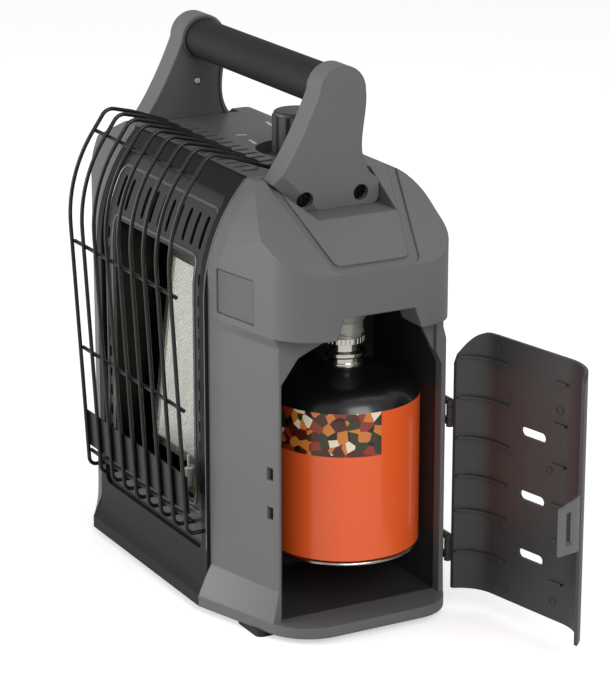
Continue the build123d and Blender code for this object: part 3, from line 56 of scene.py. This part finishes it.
lampSetup = [  # name, place, aimed at, width, height, watts
    ("overhead", (-0.1, 0.5, 2.2), (-0.1, 0.05, 0.15), 2.0, 2.0, 8),
    ("sideSoftbox", (2.1, 0.0, 1.5), (-0.05, 0.05, 0.25), 1.2, 1.4, 31),
    ("frontSoftbox", (-0.9, -2.0, 0.7), (-0.1, 0.05, 0.15), 1.2, 1.6, 38),
]


def toLinear(hexColour):
    values = [int(hexColour[i:i + 2], 16) / 255 for i in (1, 3, 5)]
    return tuple(v / 12.92 if v <= 0.04045 else ((v + 0.055) / 1.055) ** 2.4 for v in values) + (1.0,)


def addNode(tree, kind, inputs=None, links=None, **settings):
    node = tree.nodes.new(kind)
    for key, value in settings.items():
        setattr(node, key, value)
    for key, value in (inputs or {}).items():
        node.inputs[key].default_value = value
    for key, source in (links or {}).items():
        tree.links.new(source, node.inputs[key])
    return node


def startMaterial(name, roughness, metallic=0.0):
    material = bpy.data.materials.new(name)
    material.use_nodes = True
    tree = material.node_tree
    shader = tree.nodes["Principled BSDF"]
    shader.inputs["Roughness"].default_value = roughness
    shader.inputs["Metallic"].default_value = metallic
    return material, tree, shader


def makeCamera():
    camera = bpy.data.objects.new("studioCamera", bpy.data.cameras.new("studioCamera"))
    bpy.context.collection.objects.link(camera)
    camera.location = cameraSetup["place"]
    camera.rotation_euler = (math.radians(90 - cameraSetup["down"]), 0, math.radians(cameraSetup["turn"]))
    camera.data.lens = cameraSetup["lens"]
    camera.data.clip_start, camera.data.clip_end = cameraSetup["clip"]
    bpy.context.scene.camera = camera
    bpy.context.scene.view_settings.view_transform = "Standard"


def makeFloor():
    bpy.ops.object.select_all(action="DESELECT")
    bpy.ops.mesh.primitive_plane_add(size=stageSetup["floorSize"], location=(0, 0, 0))
    floor = bpy.context.object
    floor.name = "studioFloor"
    material, tree, shader = startMaterial("paintedFloor", stageSetup["floorRoughness"])
    shader.inputs["Base Color"].default_value = toLinear(stageSetup["floorColour"])
    shader.inputs["Specular IOR Level"].default_value = stageSetup["floorShine"]
    paths = addNode(tree, "ShaderNodeLightPath")
    glow = addNode(tree, "ShaderNodeEmission",
                   {"Color": toLinear(stageSetup["white"]), "Strength": stageSetup["floorGlow"]})
    lit = addNode(tree, "ShaderNodeAddShader", None, {0: shader.outputs[0], 1: glow.outputs[0]})
    seen = addNode(tree, "ShaderNodeMixShader", None,
                   {0: paths.outputs["Is Camera Ray"], 1: shader.outputs[0], 2: lit.outputs[0]})
    tree.links.new(seen.outputs[0], tree.nodes["Material Output"].inputs["Surface"])
    floor.data.materials.append(material)


def makeWorld():
    world = bpy.data.worlds.new("studioWorld")
    bpy.context.scene.world = world
    world.use_nodes = True
    tree = world.node_tree
    background = tree.nodes["Background"]
    background.inputs["Color"].default_value = toLinear(stageSetup["worldColour"])
    background.inputs["Strength"].default_value = stageSetup["worldStrength"]
    paths = addNode(tree, "ShaderNodeLightPath")
    white = addNode(tree, "ShaderNodeBackground",
                    {"Color": toLinear(stageSetup["white"]), "Strength": 1.0})
    seen = addNode(tree, "ShaderNodeMixShader", None,
                   {0: paths.outputs["Is Camera Ray"], 1: background.outputs[0], 2: white.outputs[0]})
    tree.links.new(seen.outputs[0], tree.nodes["World Output"].inputs["Surface"])


def makeLamps():
    for name, place, target, width, height, watts in lampSetup:
        lamp = bpy.data.lights.new(name, "AREA")
        lamp.shape = "RECTANGLE"
        lamp.size, lamp.size_y, lamp.energy = width, height, watts
        holder = bpy.data.objects.new(name, lamp)
        holder.location = place
        holder.rotation_euler = (Vector(target) - Vector(place)).to_track_quat("-Z", "Y").to_euler()
        bpy.context.collection.objects.link(holder)


makeCamera()
makeFloor()
makeWorld()
makeLamps()
print("stage ready")

# materials: sizes of patterns, depths and rounded edges in mm

plasticSetup = {"cloud": 60, "glossSpread": 0.06, "bump": 0.35}
coatSetup = {"bump": 0.3}
brushSetup = {"stretch": 60, "darkest": 0.8, "glossSpread": 0.3, "bump": 0.15, "depth": 0.05}


def perMm(size):
    return 1000.0 / size  # texture scale on coordinates in metres


def tinted(colour, factor):
    return tuple(channel * factor for channel in toLinear(colour)[:3]) + (1.0,)


def roundedBump(tree, shader, height, strength, depth, edge):
    # surface relief over softly rounded edges
    rounded = addNode(tree, "ShaderNodeBevel", {"Radius": edge / 1000}, samples=4)
    bump = addNode(tree, "ShaderNodeBump", {"Strength": strength, "Distance": depth / 1000},
                   {"Height": height, "Normal": rounded.outputs[0]})
    tree.links.new(bump.outputs[0], shader.inputs["Normal"])


def mouldedPlastic(name, colour, roughness, depth, grain=0.9, edge=0.6, mottle=0.06, shine=0.5):
    # injection-moulded plastic: an even colour, a spark-eroded grain and softly rounded edges
    material, tree, shader = startMaterial(name, roughness)
    shader.inputs["Specular IOR Level"].default_value = shine
    place = addNode(tree, "ShaderNodeTexCoord").outputs["Object"]
    cloud = addNode(tree, "ShaderNodeTexNoise", {"Scale": perMm(plasticSetup["cloud"]), "Detail": 3.0},
                    {"Vector": place})
    fine = addNode(tree, "ShaderNodeTexNoise", {"Scale": perMm(grain), "Detail": 2.0, "Roughness": 0.6},
                   {"Vector": place})
    tint = addNode(tree, "ShaderNodeMix", {6: tinted(colour, 1 - mottle), 7: tinted(colour, 1 + mottle)},
                   {0: cloud.outputs["Fac"]}, data_type="RGBA")
    tree.links.new(tint.outputs[2], shader.inputs["Base Color"])
    spread = plasticSetup["glossSpread"]
    rough = addNode(tree, "ShaderNodeMapRange", {"To Min": roughness - spread, "To Max": roughness + spread},
                    {"Value": cloud.outputs["Fac"]})
    tree.links.new(rough.outputs[0], shader.inputs["Roughness"])
    roundedBump(tree, shader, fine.outputs["Fac"], plasticSetup["bump"], depth, edge)
    return material


def coatedMetal(name, colour, roughness, depth, grain=0.8, edge=0.4, metallic=0.0):
    # powder-coated, lacquered or fired surface: an even colour under a faint orange peel
    material, tree, shader = startMaterial(name, roughness, metallic)
    shader.inputs["Base Color"].default_value = toLinear(colour)
    place = addNode(tree, "ShaderNodeTexCoord").outputs["Object"]
    peel = addNode(tree, "ShaderNodeTexNoise", {"Scale": perMm(grain), "Detail": 2.0}, {"Vector": place})
    roundedBump(tree, shader, peel.outputs["Fac"], coatSetup["bump"], depth, edge)
    return material


def brushedSheet(name, colour, roughness, along="Z", grain=0.4):
    # rolled, drawn or turned metal: fine lines that run one way, and a change of gloss along them
    material, tree, shader = startMaterial(name, roughness, metallic=1.0)
    place = addNode(tree, "ShaderNodeTexCoord").outputs["Object"]
    scale = [perMm(grain)] * 3
    scale["XYZ".index(along)] = perMm(grain * brushSetup["stretch"])
    lines = addNode(tree, "ShaderNodeMapping", {"Scale": scale}, {"Vector": place})
    noise = addNode(tree, "ShaderNodeTexNoise", {"Scale": 1.0, "Detail": 3.0}, {"Vector": lines.outputs[0]})
    tint = addNode(tree, "ShaderNodeMix", {6: tinted(colour, brushSetup["darkest"]), 7: toLinear(colour)},
                   {0: noise.outputs["Fac"]}, data_type="RGBA")
    tree.links.new(tint.outputs[2], shader.inputs["Base Color"])
    spread = brushSetup["glossSpread"]
    rough = addNode(tree, "ShaderNodeMapRange",
                    {"To Min": roughness * (1 - spread), "To Max": roughness * (1 + spread)},
                    {"Value": noise.outputs["Fac"]})
    tree.links.new(rough.outputs[0], shader.inputs["Roughness"])
    bump = addNode(tree, "ShaderNodeBump",
                   {"Strength": brushSetup["bump"], "Distance": brushSetup["depth"] / 1000},
                   {"Height": noise.outputs["Fac"]})
    tree.links.new(bump.outputs[0], shader.inputs["Normal"])
    return material


canPrint = {
    "ground": "#e85d24", "dome": "#0b0b0b",
    "motif": ["#150e0a", "#4a1a10", "#8d2f17", "#c9772f", "#2f3216", "#e6d9bd"],
    "axis": (-0.011, 0.076, 0.0),  # the can's own axis, metres
    "motifFoot": 131.5, "shoulder": 163.2,  # mm above the floor
    "motifMiddle": 0.333, "motifHalf": 0.167,  # parts of a turn
    "cell": 6.5, "cloud": 18,  # mm
    "roughness": (0.26, 0.34), "coat": 0.3, "coatRoughness": 0.1,
}


def printedCan(name):
    # lithographed tin plate: orange ground, a panel of warm mosaic over part of the girth, a black dome
    material, tree, shader = startMaterial(name, sum(canPrint["roughness"]) / 2)
    shader.inputs["Coat Weight"].default_value = canPrint["coat"]
    shader.inputs["Coat Roughness"].default_value = canPrint["coatRoughness"]
    place = addNode(tree, "ShaderNodeTexCoord").outputs["Object"]

    # one plain colour to each cell of the mosaic
    cells = addNode(tree, "ShaderNodeTexVoronoi", {"Scale": perMm(canPrint["cell"])}, {"Vector": place})
    pick = addNode(tree, "ShaderNodeSeparateColor", None, {0: cells.outputs["Color"]})
    motif = addNode(tree, "ShaderNodeValToRGB", None, {0: pick.outputs[0]})
    motif.color_ramp.interpolation = "CONSTANT"
    stops = motif.color_ramp.elements
    for index, colour in enumerate(canPrint["motif"]):
        share = index / len(canPrint["motif"])
        stop = stops[index] if index < 2 else stops.new(share)
        stop.position = share
        stop.color = toLinear(colour)

    # where the mosaic lies round the can, and above which height
    centred = addNode(tree, "ShaderNodeVectorMath", {1: canPrint["axis"]}, {0: place}, operation="SUBTRACT")
    turn = addNode(tree, "ShaderNodeTexGradient", None, {0: centred.outputs[0]}, gradient_type="RADIAL")
    girth = addNode(tree, "ShaderNodeMath", {1: canPrint["motifMiddle"], 2: canPrint["motifHalf"]},
                    {0: turn.outputs["Fac"]}, operation="COMPARE")
    parts = addNode(tree, "ShaderNodeSeparateXYZ", None, {0: place})
    raised, domed = (
        addNode(tree, "ShaderNodeMath", {1: canPrint[key] / 1000}, {0: parts.outputs["Z"]},
                operation="GREATER_THAN") for key in ("motifFoot", "shoulder"))
    inside = addNode(tree, "ShaderNodeMath", None, {0: girth.outputs[0], 1: raised.outputs[0]},
                     operation="MULTIPLY")
    label = addNode(tree, "ShaderNodeMix", {6: toLinear(canPrint["ground"])},
                    {0: inside.outputs[0], 7: motif.outputs[0]}, data_type="RGBA")
    overall = addNode(tree, "ShaderNodeMix", {7: toLinear(canPrint["dome"])},
                     {0: domed.outputs[0], 6: label.outputs[2]}, data_type="RGBA")
    tree.links.new(overall.outputs[2], shader.inputs["Base Color"])

    cloud = addNode(tree, "ShaderNodeTexNoise", {"Scale": perMm(canPrint["cloud"]), "Detail": 1.0},
                    {"Vector": place})
    lowest, highest = canPrint["roughness"]
    rough = addNode(tree, "ShaderNodeMapRange", {"To Min": lowest, "To Max": highest},
                    {"Value": cloud.outputs["Fac"]})
    tree.links.new(rough.outputs[0], shader.inputs["Roughness"])
    return material


# moulded plastics, foam and rubber
greyAbs = mouldedPlastic("mouldedAbsGrey", "#5f5f60", 0.48, 0.05, edge=1.6)
topAbs = mouldedPlastic("mouldedAbsTop", "#555557", 0.42, 0.05)
charcoalAbs = mouldedPlastic("mouldedAbsCharcoal", "#121213", 0.36, 0.04, edge=1.4, shine=0.22)
# lighter grey for the strips on the front cover's edges: a painted highlight
edgeHighlightAbs = mouldedPlastic("mouldedAbsPaintedHighlight", "#6a6a6b", 0.3, 0.01)
badgeAbs = mouldedPlastic("mouldedAbsBadge", "#575758", 0.4, 0.03)
coverAbs = mouldedPlastic("mouldedAbsHandleCover", "#545455", 0.5, 0.04)
doorAbs = mouldedPlastic("mouldedAbsDoor", "#363636", 0.38, 0.03, grain=1.2)
latchAbs = mouldedPlastic("mouldedAbsLatch", "#606060", 0.4, 0.02, grain=1.2)
knobAbs = mouldedPlastic("mouldedAbsKnob", "#434344", 0.4, 0.03)
trayAbs = mouldedPlastic("mouldedAbsTray", "#474747", 0.42, 0.04)
linerNylon = mouldedPlastic("mouldedNylonBlack", "#323232", 0.45, 0.04)
hingeNylon = mouldedPlastic("mouldedNylonHinge", "#232323", 0.4, 0.03)
gripFoam = mouldedPlastic("foamRubberGrip", "#121213", 0.66, 0.12, grain=1.1, edge=1.5, shine=0.35)
footRubber = mouldedPlastic("mouldedRubberFoot", "#1a1a1a", 0.75, 0.05)
# powder coats, inks, lacquered castings and fired ceramic
wireCoat = coatedMetal("powderCoatBlack", "#0b0b0b", 0.34, 0.03)
frameCoat = coatedMetal("powderCoatGraphite", "#2e2e2e", 0.3, 0.03)
# lighter and more metallic than the frame the beads are pressed into: a painted highlight on the beads
beadHighlightCoat = coatedMetal("paintedHighlightBead", "#77777a", 0.22, 0.01, metallic=0.7)
castZinc = coatedMetal("lacqueredZincCasting", "#a5a49e", 0.34, 0.04, grain=1.0, metallic=0.4)
whiteInk = coatedMetal("padPrintedWhite", "#c9c9c6", 0.5, 0.01, grain=0.6)
blackInk = coatedMetal("padPrintedBlack", "#141414", 0.5, 0.01, grain=0.6)
ceramic = coatedMetal("firedCordierite", "#f2f3ec", 0.85, 0.1, grain=1.2)
printedTin = printedCan("lithographedTin")
# bare and plated metals
steelSheet = brushedSheet("rolledStainless", "#b9b6ae", 0.28, grain=0.5)
# very dark brushed steel for the burner's box
darkBoxSheet = brushedSheet("darkBrushedSteel", "#2b2925", 0.42, grain=0.5)
polishedSheet = brushedSheet("polishedAluminium", "#f2f1ea", 0.42, along="X")
nickelPlate = brushedSheet("nickelPlatedBrass", "#dad8cf", 0.16)
tinPlate = brushedSheet("tinPlate", "#c9c9c6", 0.22)
turnedBrass = brushedSheet("turnedBrass", "#b08d4c", 0.25, grain=0.3)
platedScrew = brushedSheet("blackenedScrew", "#232323", 0.4, along="X", grain=0.3)

finishes = {
    greyAbs: ["gas_housing", "control_side_housing", "rear_panel", "arm_gas", "arm_control"],
    topAbs: ["top_panel", "knob_well"],
    charcoalAbs: ["front_cover"],
    coverAbs: ["arm_cover_gas", "arm_cover_control"],
    doorAbs: ["door_panel"],
    latchAbs: ["door_latch"],
    knobAbs: ["knob"],
    trayAbs: ["base_pan"],
    linerNylon: ["bay_liner", "piezo_igniter", "tilt_switch"],
    hingeNylon: ["hinge_brackets", "door_knuckles"],
    gripFoam: ["grip"],
    footRubber: ["feet"],
    wireCoat: ["guard_wires", "guard_cross_wires", "guard_band"],
    frameCoat: ["front_frame"],
    castZinc: ["regulator_body"],
    ceramic: ["ceramic_plaque", "spark_electrode"],
    printedTin: ["cartridge_shell"],
    steelSheet: ["plaque_frame", "burner_plenum", "sensor_bracket", "venturi_tube"],
    darkBoxSheet: ["reflector_box"],
    polishedSheet: ["reflector_hood", "gas_pipe"],
    nickelPlate: ["cartridge_valve", "regulator_nut"],
    tinPlate: ["cartridge_rim", "arm_cover_screws", "grip_rod"],
    turnedBrass: ["gas_valve", "gas_jet", "thermocouple", "knob_stem"],
    platedScrew: ["arm_screws", "hinge_pins"],
}


def dressNodes():
    for material, names in finishes.items():
        for name in names:
            slots = nodes[name].data.materials
            slots.clear()
            slots.append(material)


dressNodes()
print("materials on", sum(len(names) for names in finishes.values()), "solids")

# pieces modelled here: sizes in mm and degrees, places in the part's own drawing

footPlace = (111.0, -57.0)  # where the row's origin lies in that drawing
inFront = -120.0  # a depth in front of the whole part, from which outlines are laid on
facing = 0.9  # least Z of a unit normal that counts as facing up, or down when negative
roundSteps = 2  # segments of a rounded edge
flatShading = 12  # degrees, keeps the faces of a thin plate flat up to its rounded edge


def at(x, y, z):
    return Vector(((x - footPlace[0]) / 1000, (y - footPlace[1]) / 1000, z / 1000))


def openMesh(name, maker, **settings):
    # start a piece from one of Blender's meshes and leave it in edit mode with all of it selected
    bpy.ops.object.select_all(action="DESELECT")
    maker(**settings)
    piece = bpy.context.object
    piece.name = name
    bpy.ops.object.mode_set(mode="EDIT")
    bpy.ops.mesh.select_all(action="SELECT")
    return piece


def openBlock(name, size, edge, segments=roundSteps):
    # start a piece from a block with bevelled edges
    piece = openMesh(name, bpy.ops.mesh.primitive_cube_add, size=1)
    bpy.ops.transform.resize(value=[side / 1000 for side in size])
    bpy.ops.mesh.select_mode(type="EDGE")
    bpy.ops.mesh.select_all(action="SELECT")
    bpy.ops.mesh.bevel(offset=edge / 1000, segments=segments)
    bpy.ops.mesh.select_all(action="SELECT")
    return piece


def openPlate(name, width, height):
    # start a piece from a flat rectangle
    piece = openMesh(name, bpy.ops.mesh.primitive_plane_add, size=1)
    bpy.ops.transform.resize(value=(width / 1000, height / 1000, 1))
    return piece


def pickFaces(piece, way):
    # select the faces that face up (1) or down (-1), in edit mode
    bpy.ops.mesh.select_mode(type="FACE")
    bpy.ops.mesh.select_all(action="DESELECT")
    bpy.ops.object.mode_set(mode="OBJECT")
    for face in piece.data.polygons:
        face.select = face.normal.z * way > facing
    bpy.ops.object.mode_set(mode="EDIT")


def extrudeBy(distance):
    # extrude what is selected along Z, in metres
    bpy.ops.mesh.extrude_region_move(TRANSFORM_OT_translate={"value": (0, 0, distance)})


def turnOutward():
    bpy.ops.mesh.select_all(action="SELECT")
    bpy.ops.mesh.normals_make_consistent(inside=False)


def applyModifier(piece, kind, **settings):
    change = piece.modifiers.new(kind.lower(), kind)
    for key, value in settings.items():
        setattr(change, key, value)
    bpy.ops.object.modifier_apply(modifier=change.name)


def layOn(piece, base, place, heights, step, thick, edge):
    # stand a flat outline up in front of a node, cut it at even heights so that it can bend,
    # drop it onto the node, thicken it and round its edges
    bpy.ops.mesh.select_all(action="SELECT")
    bpy.ops.transform.rotate(value=math.radians(90), orient_axis="X", center_override=(0, 0, 0))
    bpy.ops.transform.translate(value=at(place[0], inFront, place[1]))
    level, highest = heights
    while level < highest:
        bpy.ops.mesh.select_all(action="SELECT")
        bpy.ops.mesh.bisect(plane_co=(0, 0, level / 1000), plane_no=(0, 0, 1))
        level += step
    bpy.ops.object.mode_set(mode="OBJECT")
    applyModifier(piece, "SHRINKWRAP", target=nodes[base], wrap_method="PROJECT", use_project_y=True,
                  use_positive_direction=True, use_negative_direction=False)
    applyModifier(piece, "SOLIDIFY", thickness=thick / 1000, offset=0.0)
    applyModifier(piece, "BEVEL", width=edge / 1000, segments=roundSteps, limit_method="ANGLE")
    bpy.ops.object.mode_set(mode="EDIT")


def closeMesh(piece, body, material, place=(0, 0, 0), turn=(0, 0, 0), smooth=35):
    # leave edit mode, put the mesh where it goes and hand the piece to its body
    turnOutward()
    bpy.ops.object.mode_set(mode="OBJECT")
    piece.rotation_euler = turn
    piece.location = place
    bpy.ops.object.transform_apply(location=True, rotation=True, scale=True)
    bpy.ops.object.shade_smooth_by_angle(angle=math.radians(smooth))
    piece.data.materials.clear()
    piece.data.materials.append(material)
    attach(piece, body)


# perforated ceramic tile of the burner
tile = {
    "width": 100.0, "height": 146.0, "thick": 13.0,
    "middle": (-24.5, -37.5, 158.0), "lean": 7.0,
    "gridSpan": 200.0,  # reaches past the tile's corners when the grid is turned
    "gridTurn": 45.0, "pitch": 2.3, "bridge": 0.55, "holeDepth": 1.4,
    "merge": 1.0,  # degrees within which the flat back becomes one face
    "shading": 20,
}


def makeTile():
    cells = int(tile["gridSpan"] / tile["pitch"])
    piece = openMesh("burnerTile", bpy.ops.mesh.primitive_grid_add, x_subdivisions=cells,
                     y_subdivisions=cells, size=cells * tile["pitch"] / 1000)
    bpy.ops.transform.rotate(value=math.radians(tile["gridTurn"]), orient_axis="Z",
                             center_override=(0, 0, 0))
    halfWidth, halfHeight = tile["width"] / 2000, tile["height"] / 2000
    for side in (1, -1):
        for edge, normal in (((side * halfWidth, 0, 0), (side, 0, 0)),
                             ((0, side * halfHeight, 0), (0, side, 0))):
            bpy.ops.mesh.select_all(action="SELECT")
            bpy.ops.mesh.bisect(plane_co=edge, plane_no=normal, clear_outer=True)
    # body of the tile below its perforated face
    bpy.ops.mesh.select_all(action="SELECT")
    extrudeBy(-tile["thick"] / 1000)
    turnOutward()
    pickFaces(piece, -1)
    bpy.ops.mesh.dissolve_limited(angle_limit=math.radians(tile["merge"]))
    # one hole in each cell of the face
    pickFaces(piece, 1)
    bpy.ops.mesh.inset(thickness=tile["bridge"] / 2000, use_individual=True)
    extrudeBy(-tile["holeDepth"] / 1000)
    closeMesh(piece, "chassis", ceramic, at(*tile["middle"]),
              (math.radians(90 - tile["lean"]), 0, 0), smooth=tile["shading"])
    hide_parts("ceramic_plaque")


# beads pressed into the slotted frame, one round all its slots and one round the radiant opening; the beads
# are real relief, coloured lighter and more metallic than the frame as a painted highlight
beads = {
    "outlines": {  # middle in X and Z, width and height, corner radius
        "outer": ((-24.5, 181.5), (160.0, 226.0), 9.0),
        "inner": ((-24.5, 166.0), (138.0, 189.0), 8.0),
    },
    "width": 2.0, "thick": 1.6, "edge": 0.6, "cornerSteps": 6,
    "bendFoot": 205.0, "step": 5.0,  # where the frame starts to bend, and how finely a bead follows it
}


def makeBeads():
    for key, (middle, (width, height), corner) in beads["outlines"].items():
        piece = openPlate(key + "FrameBead", width, height)
        bpy.ops.mesh.bevel(offset=corner / 1000, segments=beads["cornerSteps"], affect="VERTICES")
        bpy.ops.mesh.inset(thickness=beads["width"] / 1000)
        bpy.ops.mesh.delete(type="FACE")
        layOn(piece, "front_frame", middle, (beads["bendFoot"], middle[1] + height / 2), beads["step"],
              beads["thick"], beads["edge"])
        closeMesh(piece, "chassis", beadHighlightCoat)


# lighter grey strips along both side edges of the front cover: a painted highlight, standing in for the
# light caught by the cover's rounded edges
edgeHighlight = {
    "edges": (-113.9, 65.0), "width": 1.3, "foot": 46.0, "top": 317.0,
    "thick": 0.5, "edge": 0.15, "step": 5.0,
}


def makeEdgeHighlights():
    height = edgeHighlight["top"] - edgeHighlight["foot"]
    for index, edge in enumerate(edgeHighlight["edges"]):
        piece = openPlate("coverEdgeHighlight" + str(index + 1), edgeHighlight["width"], height)
        layOn(piece, "front_cover", (edge, edgeHighlight["foot"] + height / 2),
              (edgeHighlight["foot"] + edgeHighlight["step"], edgeHighlight["top"]), edgeHighlight["step"], edgeHighlight["thick"], edgeHighlight["edge"])
        closeMesh(piece, "chassis", edgeHighlightAbs)


# black strip laid over the joint between the front cover and the top panel: painted shade, standing in for
# the shadow in that narrow gap
gapShade = {"ends": (-112.0, 63.0), "joint": -38.85, "width": 1.3, "proud": 0.15, "edge": 0.075, "top": 318.0}


def makeGapShade():
    size = (gapShade["ends"][1] - gapShade["ends"][0], gapShade["width"], 2 * gapShade["proud"])
    piece = openBlock("topGapShade", size, gapShade["edge"])
    closeMesh(piece, "chassis", footRubber,
              at(sum(gapShade["ends"]) / 2, gapShade["joint"], gapShade["top"]), smooth=flatShading)


# blank badge lying in the shallow recess beside the front cover
badge = {
    "place": (96.8, -64.24, 243.0), "turn": 10.39,
    "width": 40.6, "height": 30.6, "thick": 0.8,
    "corner": 1.2, "cornerSteps": 4, "edge": 0.3,
}


def makeBadge():
    piece = openPlate("blankBadge", badge["width"], badge["height"])
    bpy.ops.mesh.bevel(offset=badge["corner"] / 1000, segments=badge["cornerSteps"],
                       affect="VERTICES")
    extrudeBy(badge["thick"] / 1000)
    turnOutward()
    bpy.ops.transform.translate(value=(0, 0, -badge["thick"] / 2000))
    pickFaces(piece, 1)
    bpy.ops.mesh.bevel(offset=badge["edge"] / 1000, segments=roundSteps)
    closeMesh(piece, "chassis", badgeAbs, at(*badge["place"]),
              (math.radians(90), 0, math.radians(badge["turn"])), smooth=flatShading)


# dial strokes printed on the top panel
dialMarks = {
    "strokes": [((-52, 13), (-48, 20)), ((-34, 14.6), (-20, 13)), ((-79, 53), (-61, 50))],
    "width": 2.2, "proud": 0.12, "edge": 0.048, "top": 318.0,
}


def makeDialMarks():
    for index, (start, end) in enumerate(dialMarks["strokes"]):
        size = (math.dist(start, end), dialMarks["width"], 2 * dialMarks["proud"])
        piece = openBlock("dialMark" + str(index + 1), size, dialMarks["edge"], segments=1)
        closeMesh(piece, "chassis", whiteInk,
                  at((start[0] + end[0]) / 2, (start[1] + end[1]) / 2, dialMarks["top"]),
                  (0, 0, math.atan2(end[1] - start[1], end[0] - start[0])))


# pointer moulded into the knob's top
pointer = {
    "axis": (5.0, 33.0, 346.0), "reach": (9.0, 15.5), "turn": 118.0,
    "width": 2.4, "proud": 0.25, "edge": 0.2,
}


def makePointer():
    size = (pointer["reach"][1] - pointer["reach"][0], pointer["width"], 2 * pointer["proud"])
    piece = openBlock("knobPointer", size, pointer["edge"])
    bpy.ops.transform.translate(value=(sum(pointer["reach"]) / 2000, 0, 0))
    closeMesh(piece, "control_knob", blackInk, at(*pointer["axis"]),
              (0, 0, math.radians(pointer["turn"])))


# round marks that the mould's ejector pins leave on the door's inner face
ejector = {
    "hinge": (143.9, 81.0), "openAngle": 101.0,
    "face": 158.4,  # X of that face when the door is shut
    "marks": [(45.0, 204.8), (34.4, 168.4), (-14.0, 172.5), (36.8, 128.8), (-5.0, 126.5), (40.3, 70.0),
              (35.7, 26.5), (-11.7, 30.7)],  # Y when the door is shut, and height
    "radius": 3.4, "rim": 0.9, "proud": 0.5, "dimple": 0.6, "sides": 32,
}


def makeEjectorMarks():
    piece = openMesh("ejectorMark1", bpy.ops.mesh.primitive_cylinder_add, vertices=ejector["sides"],
                     radius=ejector["radius"] / 1000, depth=2 * ejector["proud"] / 1000)
    pickFaces(piece, 1)
    bpy.ops.mesh.inset(thickness=ejector["rim"] / 1000)
    extrudeBy(-ejector["dimple"] / 1000)
    bpy.ops.object.mode_set(mode="OBJECT")
    master = piece.data.copy()
    swing = math.radians(ejector["openAngle"])
    hingeX, hingeY = ejector["hinge"]
    for index, (along, height) in enumerate(ejector["marks"]):
        if index:
            piece = bpy.data.objects.new("ejectorMark" + str(index + 1), master.copy())
            bpy.context.collection.objects.link(piece)
        bpy.ops.object.select_all(action="DESELECT")
        bpy.context.view_layer.objects.active = piece
        piece.select_set(True)
        bpy.ops.object.mode_set(mode="EDIT")
        offX, offY = ejector["face"] - hingeX, along - hingeY
        place = at(hingeX + offX * math.cos(swing) - offY * math.sin(swing),
                   hingeY + offX * math.sin(swing) + offY * math.cos(swing), height)
        closeMesh(piece, "door", doorAbs, place, (0, math.radians(-90), swing))


makeTile()
makeBeads()
makeEdgeHighlights()
makeGapShade()
makeBadge()
makeDialMarks()
makePointer()
makeEjectorMarks()
print("pieces made")
